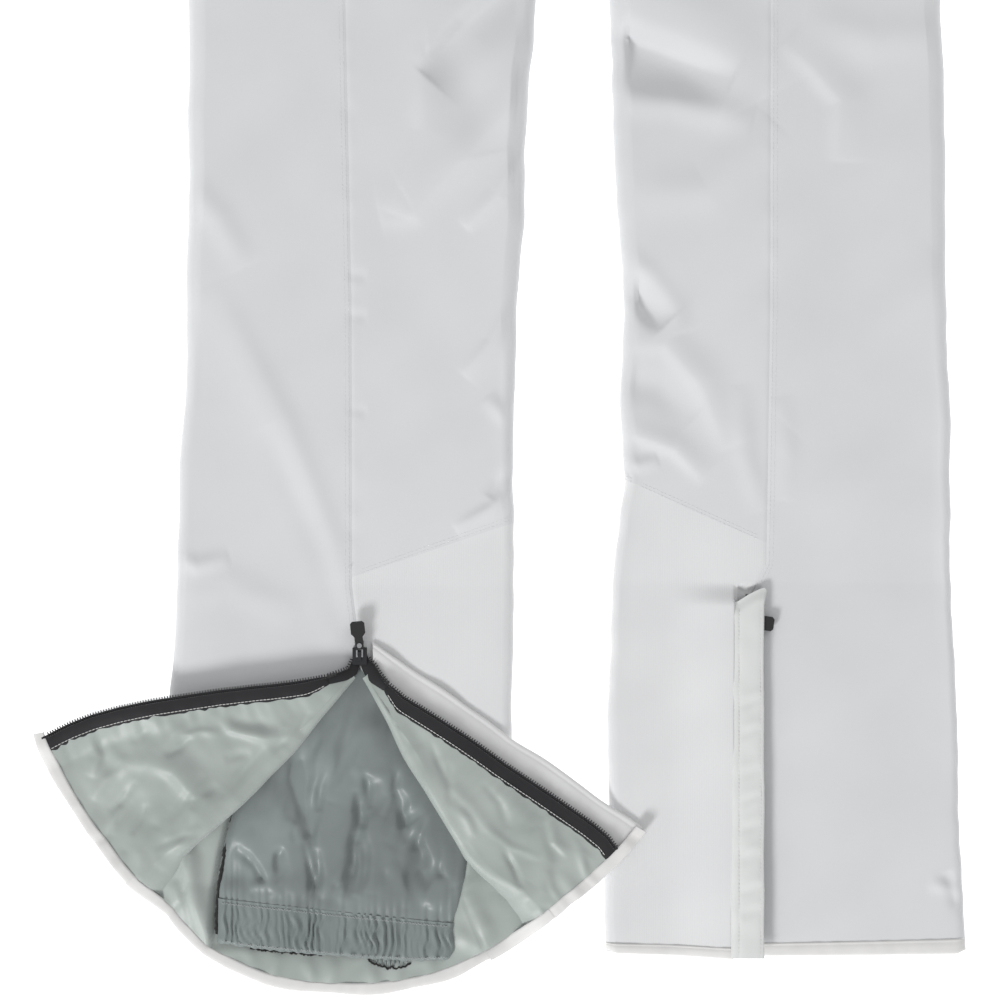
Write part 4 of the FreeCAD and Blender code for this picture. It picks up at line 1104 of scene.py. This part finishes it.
def closed_zip(word, centre, tilt, tape_length, coil_length, z):
    """Tape and meshed teeth of a zip that lies closed."""
    a = math.radians(90 + tilt)
    d, n = np.array([math.cos(a), math.sin(a)]), np.array([math.sin(a), -math.cos(a)])
    s = np.linspace(-tape_length / 2, tape_length / 2, 80)
    for side in (-1, 1):
        off = np.array([1.3, 3, 5, 7, 9, 9.9])
        xy = np.asarray(centre) + s[:, None, None] * d + (side * off)[None, :, None] * n
        zz = z + np.array([0.35, 0.3, 0.3, 0.3, 0.28, 0.05])[None] + 0.08 * ripple(xy[..., 0], xy[..., 1],
            12, 210)
        surface(f"{word}_tape_{'a' if side < 0 else 'b'}", lifted(xy, zz), TAPE, "garment",
            flip=side > 0, slot="zip_tape", replaces=(f"{word}_tapes",) if side < 0 else ())
    s = np.linspace(-coil_length / 2, coil_length / 2, 60)
    rows = []
    for side in (-1, 1):
        path = np.concatenate([np.asarray(centre) + (s + side * 0.38)[:, None] * d + side * 1.6 * n,
            np.full((60, 1), z + 0.45)], 1)
        v, f = tooth_row(path, -side, 1.5, 2.1, 0.95, 1.5)
        rows.append((v, f))
    v = np.concatenate([rows[0][0], rows[1][0]])
    f = rows[0][1] + [[i + len(rows[0][0]) for i in face] for face in rows[1][1]]
    piece(f"{word}_teeth", v, f, COIL, "garment", slot="zip_coil", shade=False, replaces=(f"{word}_coils",))


def right_hem():
    """Turned hem of the closed leg, in its two stretches either side of the storm flap."""
    bands = (("inner", [24, 113, 126], [10, 7, 6.8], [25, 126], [2.6, -1.6]),
        ("outer", [123, 133, 276], [9.8, 9.6, 13], [123, 134, 272], [-0.4, 0.2, 2]))
    for part, tx, ty, bx, by in bands:
        x0 = profile(1, part, np.array([[5.0]]))[0, :, 0]
        v = np.array([0, 0.04, 0.12, 0.17, 0.24, 0.5, 0.8, 0.92, 0.98, 1.0, 0.99, 0.9])
        up = np.array([0.1, 0.75, 0.95, 0.6, 0.95, 1.05, 0.95, 0.6, -0.4, -1.6, -3.0, -4.0])
        top, bottom = np.interp(x0, tx, ty), np.interp(x0, bx, by)
        edge_end = 2.2 * smooth(8, 0, np.abs(x0 - (24 if part == "inner" else 276)))
        y = top + (bottom + edge_end - top) * v[:, None]
        p = profile(1, part, np.maximum(y, -3))
        lift = np.minimum(up, 1.1)[:, None] * smooth(5.5, 9, p[..., 2])
        p[..., 2] = p[..., 2] + lift + 0.1 * ripple(p[..., 0], p[..., 1], 16, 221)
        if part == "inner":
            p[..., 2] += np.where(p[..., 0] < 113.3, 6.4 * smooth(66, 112, p[..., 0]), -0.5)
        surface(f"right_hem_{part}", p, HEM, "garment", flip=part == "inner", slot="shell_fabric",
            replaces=("right_hem_band",) if part == "inner" else ())


def stitch_rows():
    """Twin topstitching beside the long seams and along the slanted scuff seams."""
    for side, word, y_seam, y_edge in ((1, "right", 290, 334), (-1, "left", 266, 304)):
        seam = outline(side)[1]
        paths = []
        for off in (2.0, 4.6):
            y = np.arange(262 if side > 0 else 226, 868, 2.0)
            x = along(seam, y, 1) + side * off
            paths.append(np.stack([x, y, front_z(side, x, y) + 0.03], -1))
        for off in (2.0, 4.4):
            x0, x1 = (34, 132) if side > 0 else (-43, -150)
            x = np.linspace(x0, x1, 80)
            y = np.interp(x, sorted((x0, x1)), (y_edge, y_seam) if side > 0 else (y_seam, y_edge)) + off
            paths.append(np.stack([x, y, front_z(side, x, y) + 0.03], -1))
        v, f = beads(paths, 3.0, 2.6, 0.17, sides=4)
        piece(f"{word}_topstitch", v, f, SEAM_THREAD, "garment", slot="shell_fabric")


# ---- linings and the hidden gaiter -------------------------------------------------------------
def inner_tubes():
    """Linings of both legs."""
    for side, word, y0 in ((1, "right", 4.0), (-1, "left", 222.0)):
        rows = []
        for y in rows_between(y0, 1017, 9):
            row = []
            for part in ("inner", "outer"):
                p = profile(side, part, np.array([[y]], float))[0][:: 3]
                sag = (CLOTH_GAP + 3.2 * smooth(262, 330, y)) * smooth(SIDE_SEAM_Z, 14, p[:, 2])
                below_zip = 2.5 if 100 < p[-1, 0] < 140 and y < 255 else 0
                p[:, 2] -= sag + below_zip
                p[:ARC, 0] += (1.3 if (part == "inner") == (side > 0) else -1.3) * 0.9
                row.append(p if part == "inner" else p[::-1])
            top = np.concatenate(row)
            xb = np.linspace(top[-1, 0], top[0, 0], 22)[1:-1]
            inset = np.minimum(np.minimum(np.abs(xb - xb[0]), np.abs(xb - xb[-1])) / 8, 1)
            low = np.stack([xb, np.full_like(xb, y), 5.6 - 3.9 * inset ** 0.5], -1)
            rows.append(np.concatenate([top, low]))
        name = "right_lining_cloth" if side > 0 else "left_lining_leg"
        surface(name, np.stack(rows), LINING, "garment", wrap=True, flip=side < 0, slot="lining_fabric",
            replaces=("right_lining",) if side > 0 else ())


def flat_tube(name, ys, left, right, low, high, material, slot, replaces, gathers=0.0):
    """A tube of cloth lying flat."""
    t = np.linspace(0, 1, 90)
    side = 0.5 - 0.5 * np.cos(t * math.pi)
    rows = []
    for y in ys:
        a, b = np.interp(y, *left), np.interp(y, *right)
        x = a + (b - a) * side
        bulge = np.sqrt(np.clip(1 - np.abs(2 * side - 1) ** 6, 0, 1))
        mid, h = (low + high) / 2, (high - low) / 2
        wave = 0.5 * ripple(x, np.full_like(x, y), 34, 231) + gathers * gather_field(x)
        zt = mid + h * bulge + wave * bulge * 0.8
        zb = mid - h * bulge
        rows.append(np.concatenate([joined(x, y, zt),
            joined(x, y, zb)[::-1][1:-1]]))
    return surface(name, np.stack(rows), material, "garment", wrap=True, slot=slot, replaces=replaces)


def hidden_gaiter():
    """The closed leg's gaiter and its elastic."""
    left, right = ([14, 60, 120, 300], [62, 56, 52, 51]), ([14, 60, 120, 300], [240, 244, 248, 249])
    flat_tube("right_gaiter_cloth", rows_between(42, 299, 8), left, right, 3.0, 9.4, GAITER, "gaiter_fabric",
        ("right_gaiter",))
    flat_tube("right_cuff", rows_between(14.5, 42, 1.6), left, right, 3.3, 8.9, CUFF, "elastic",
        ("right_gaiter_elastic",), gathers=0.35)


# ---- hips --------------------------------------------------------------------------------------
def crotch():
    """The gusset between the legs."""
    t = np.linspace(0, 1, 16)[:, None]
    x = np.linspace(-7, 7, 21)[None]
    edge = 790 - 4.29 * np.maximum(np.abs(x) - 3, 0)
    z = 1.6 + (along(RIGHT_LEG, edge, 3) - 2.2) * t
    y = edge + 2.5 - 5.0 * np.sin(math.pi * t)
    surface("crotch_cloth", joined(x, y, z), SHELL, "garment", flip=True,
        slot="shell_fabric", replaces=("crotch_gusset",))


def waist():
    """Waistband and its topstitching."""
    turn = np.linspace(0, math.tau, 420, endpoint=False)
    c, s = np.cos(turn), np.sin(turn)
    rows = []
    for y, grow in ((1016, -1.2), (1017.5, -0.2), (1020, 0.15), (1021.6, -0.35), (1022.6, 0.2),
            (1028, 0.55), (1040, 0.7),
            (1052, 0.5), (1056.6, 0.15), (1057.6, -0.35), (1058.6, 0.05), (1060, -0.8), (1060.2, -1.7),
            (1059, -2.4),
            (1040, -2.5), (1018, -2.5)):
        half = 218 - 6 * np.clip((y - 1020) / 40, 0, 1)
        x = np.sign(c) * np.abs(c) ** 0.16 * half
        x = np.clip(x, -half, half)
        z = 17 + np.sign(s) * np.abs(s) ** 0.42 * 15
        nx, nz = np.abs(c) ** 6 * np.sign(c), np.sign(s) * (1 - np.abs(c) ** 6)
        wob = 0.35 * ripple(x, z * 4, 40, 241) * (grow > -1)
        rows.append(np.stack([x + nx * (grow + wob), np.full_like(x, y) + 0.3 * ripple(x, z, 90, 242),
            np.maximum(z + nz * (grow + wob), 0.9)], -1))
    surface("waistband_cloth", np.stack(rows), HEM, "garment", wrap=True, slot="shell_fabric",
        replaces=("waistband",))
    paths = []
    for y in (1021.6, 1057.6):
        x = np.linspace(-205, 205, 260)
        paths.append(joined(x, y, 32.05))
    v, f = beads(paths, 3.2, 2.7, 0.24, sides=4)
    piece("waist_topstitch", v, f, SEAM_THREAD, "garment", slot="shell_fabric")


def strap(length, width, thick, n=26):
    """A flat padded strap along +Y from the origin, as a closed grid of points."""
    sec = loop_section(width, thick, 7)
    s = np.linspace(0, 1, n)
    end = np.sqrt(np.clip(1 - np.abs(2 * s - 1) ** 14, 0, 1))
    y = s * length
    pts = np.zeros((n, len(sec), 3))
    pts[..., 0] = sec[None, :, 0] * (0.9 + 0.1 * end[:, None])
    pts[..., 1] = y[:, None]
    pts[..., 2] = sec[None, :, 1] * (0.25 + 0.75 * end[:, None])
    return pts


def belt_loop_set():
    """Belt loops and their bartacks."""
    verts, faces = [], []
    for x, front in [(p, True) for p in (-150, -62, 62, 150)] + [(p, False) for p in (-120, 0, 120)]:
        pts = strap(38, 9.6, 1.1)
        y = pts[..., 1]
        pts[..., 0] += x
        pts[..., 1] += 1021
        bow = 0.55 * np.sin(math.pi * np.clip(y / 38, 0, 1)) ** 0.5
        pts[..., 2] = 33.0 + pts[..., 2] + bow * 0.6 if front else 0.75 + pts[..., 2] + 0.2 - bow * 0.3
        base = len(verts)
        verts += pts.reshape(-1, 3).tolist()
        rows, cols = pts.shape[:2]
        faces += (grid_faces(rows, cols, True, False) + base).tolist()
        faces += [[base + i for i in range(cols)][::-1], [base + (rows - 1) * cols + i for i in range(cols)]]
    piece("belt_loop_straps", verts, faces, SHELL, "garment", slot="shell_fabric", replaces=("belt_loops",))
    bars = []
    for x in (-150, -62, 62, 150):
        for y in (1024.5, 1055.5):
            for k in range(5):
                bars.append(np.array([(x - 3.6, y + 0.45 * k - 0.9, 33.95),
                    (x + 3.6, y + 0.45 * k - 0.9, 33.95)]))
    v, f = beads(bars, 2.4, 2.3, 0.22, sides=4)
    piece("belt_loop_bartacks", v, f, SEAM_THREAD, "garment", slot="shell_fabric")


def slab_strap(name, x0, x1, y0, y1, z0, z1, body, replaces, round_end):
    """A stitched strap lying on the waistband, with a rounded free end."""
    n = 60
    s = np.linspace(0, 1, n)
    free = s if round_end > 0 else 1 - s
    half = (y1 - y0) / 2
    shape = half * np.sqrt(np.clip(1 - np.clip((free - 0.84) / 0.16, 0, 1) ** 2.6, 0.04, 1))
    across = np.array([-1, -0.985, -0.9, -0.82, -0.74, -0.4, 0, 0.4, 0.74, 0.82, 0.9, 0.985, 1])
    top = np.array([-0.4, -0.08, 0.0, -0.16, 0.06, 0.12, 0.14, 0.12, 0.06, -0.16, 0.0, -0.08, -0.4])
    y = (y0 + y1) / 2 + shape[:, None] * across[None]
    x = np.broadcast_to((x0 + (x1 - x0) * s)[:, None], y.shape)
    fade = np.clip(np.minimum(s, 1 - s) * 30, 0, 1)[:, None] ** 0.5
    zt = z1 + top[None] - (1 - fade) * 0.7
    under = np.stack([x[:, ::-1], y[:, ::-1], np.broadcast_to(z0 + 0.05, y.shape)], -1)[:, 1:-1]
    pts = np.concatenate([np.stack([x, y, zt], -1), under], 1)
    surface(name, pts, SHELL, body, wrap=True, caps=True, slot="shell_fabric", replaces=replaces)
    inset = 2.6
    rim = [np.stack([x[3:-4, 0], (y0 + y1) / 2 + sgn * (shape[3:-4] - inset), np.full(n - 7, z1 + 0.02)],
        -1) for sgn in (-1, 1)]
    v, f = beads(rim, 2.8, 2.4, 0.22, sides=4)
    piece(name + "_stitch", v, f, SEAM_THREAD, body, slot="shell_fabric")


def hips():
    """Everything above the crotch that isn't a panel."""
    crotch()
    waist()
    belt_loop_set()
    slab_strap("closing_tab_cloth", -20, 28, 1024, 1058, 32.3, 33.65, "closing_tab", ("closing_tab",), 1)
    slab_strap("left_waist_strap", -142, -92, 1028, 1052, 32.3, 33.65, "left_adjuster", ("left_waist_tab",),
        -1)
    slab_strap("right_waist_strap", 92, 142, 1028, 1052, 32.3, 33.65, "right_adjuster",
        ("right_waist_tab",), 1)
    closed_zip("right_zip", (ZIP_X, 129.5), 0, 234, 234, 13.15)
    closed_zip("fly_zip", (0, 949), 0, 126, 126, 34.15)
    for side, word in ((-1, "left"), (1, "right")):
        closed_zip(f"{word}_pocket_zip", (side * POCKET_X, POCKET_Y), side * POCKET_TILT, 156, 136, 34.15)
        a = math.radians(side * POCKET_TILT)
        t = np.linspace(-88, 72, 24)[:, None]
        u = np.linspace(-39, 59, 30)[None] * -side
        x = side * POCKET_X + u * math.cos(a) - t * math.sin(a)
        y = POCKET_Y + u * math.sin(a) + t * math.cos(a)
        dome = np.sqrt(np.clip((1 - ((u * -side - 10) / 49) ** 4) * (1 - ((t + 8) / 80) ** 4), 0, 1))
        for half, sign in (("face", 1), ("back", -1)):
            z = 19.7 + sign * (2.0 + 6.6 * dome) + 0.4 * ripple(x, y, 40, 251)
            surface(f"{word}_pocket_{half}", joined(x, y, z), POCKETING, "garment",
                flip=(sign > 0) == (side > 0),
                slot="pocket_fabric", replaces=(f"{word}_pocket_bag",) if sign > 0 else ())


def hardware():
    """Materials of the pieces that keep their CAD shape."""
    finish = {METAL: ("left_pull_link", "right_pull_link"),
        GUNMETAL: ("left_zip_slider", "right_zip_slider", "fly_zip_slider", "fly_zip_pull",
        "left_pocket_zip_slider",
        "left_pocket_zip_pull", "right_pocket_zip_slider", "right_pocket_zip_pull"),
        RUBBER: ("left_pull_tab", "right_pull_tab"), COIL: ("zip_stops",), SNAP: ("snap_cap",)}
    for material, nodes in finish.items():
        for n in nodes:
            for place_in in bpy.data.objects[n].material_slots:
                place_in.material = material


# ---- calls -------------------------------------------------------------------------------------
inner_panels()
outer_panels()
back_panels()
flaps()
zips()
apex_tapes()
hems()
back_lining()
gaiters()
left_storm()
right_storm()
right_hem()
stitch_rows()
inner_tubes()
hidden_gaiter()
hips()
hardware()


# ---- light, floor and camera -------------------------------------------------------------------
def studio():
    """Floor, lights, world and camera."""
    bpy.ops.mesh.primitive_plane_add(size=6, location=(0, 0, 0))
    floor = bpy.context.object
    floor.name = "floor"
    m, nodes, links, shader = new_material("floor")
    shader.inputs["Base Color"].default_value = (0.9, 0.9, 0.9, 1)
    shader.inputs["Roughness"].default_value = 0.9
    shader.inputs["Emission Color"].default_value = (1, 1, 1, 1)
    shader.inputs["Emission Strength"].default_value = 0.8
    floor.data.materials.append(m)

    def area(name, at, aim, size, power):
        light = bpy.data.lights.new(name, "AREA")
        light.shape, light.size, light.energy = "DISK", size, power
        o = bpy.data.objects.new(name, light)
        bpy.context.scene.collection.objects.link(o)
        o.location = at
        d = np.array(aim, float) - np.array(at, float)
        o.rotation_euler = (math.acos(-d[2] / np.linalg.norm(d)), 0, math.atan2(d[1], d[0]) - math.pi / 2)

    area("key", (-2.5, -4.0, 2.8), (0, -0.1, 0), 1.4, 182)
    area("fill", (1.8, 1.2, 2.2), (0, 0, 0), 2.2, 12)
    world = bpy.data.worlds.new("soft")
    world.use_nodes = True
    world.node_tree.nodes["Background"].inputs["Color"].default_value = (1, 1, 1, 1)
    world.node_tree.nodes["Background"].inputs["Strength"].default_value = 0.56
    bpy.context.scene.world = world
    scene = bpy.context.scene
    scene.view_settings.view_transform = "Standard"
    scene.view_settings.look = "None"
    camera = bpy.data.objects.new("camera", bpy.data.cameras.new("camera"))
    scene.collection.objects.link(camera)
    camera.data.lens, camera.data.sensor_width = 100, 36
    centre = (np.array([-50.4, 320.0, 14.0]) + OFFSET) / 1000
    camera.location = (centre[0], centre[1], 1.944 + centre[2])
    camera.rotation_euler = (0, 0, 0)
    scene.camera = camera


studio()
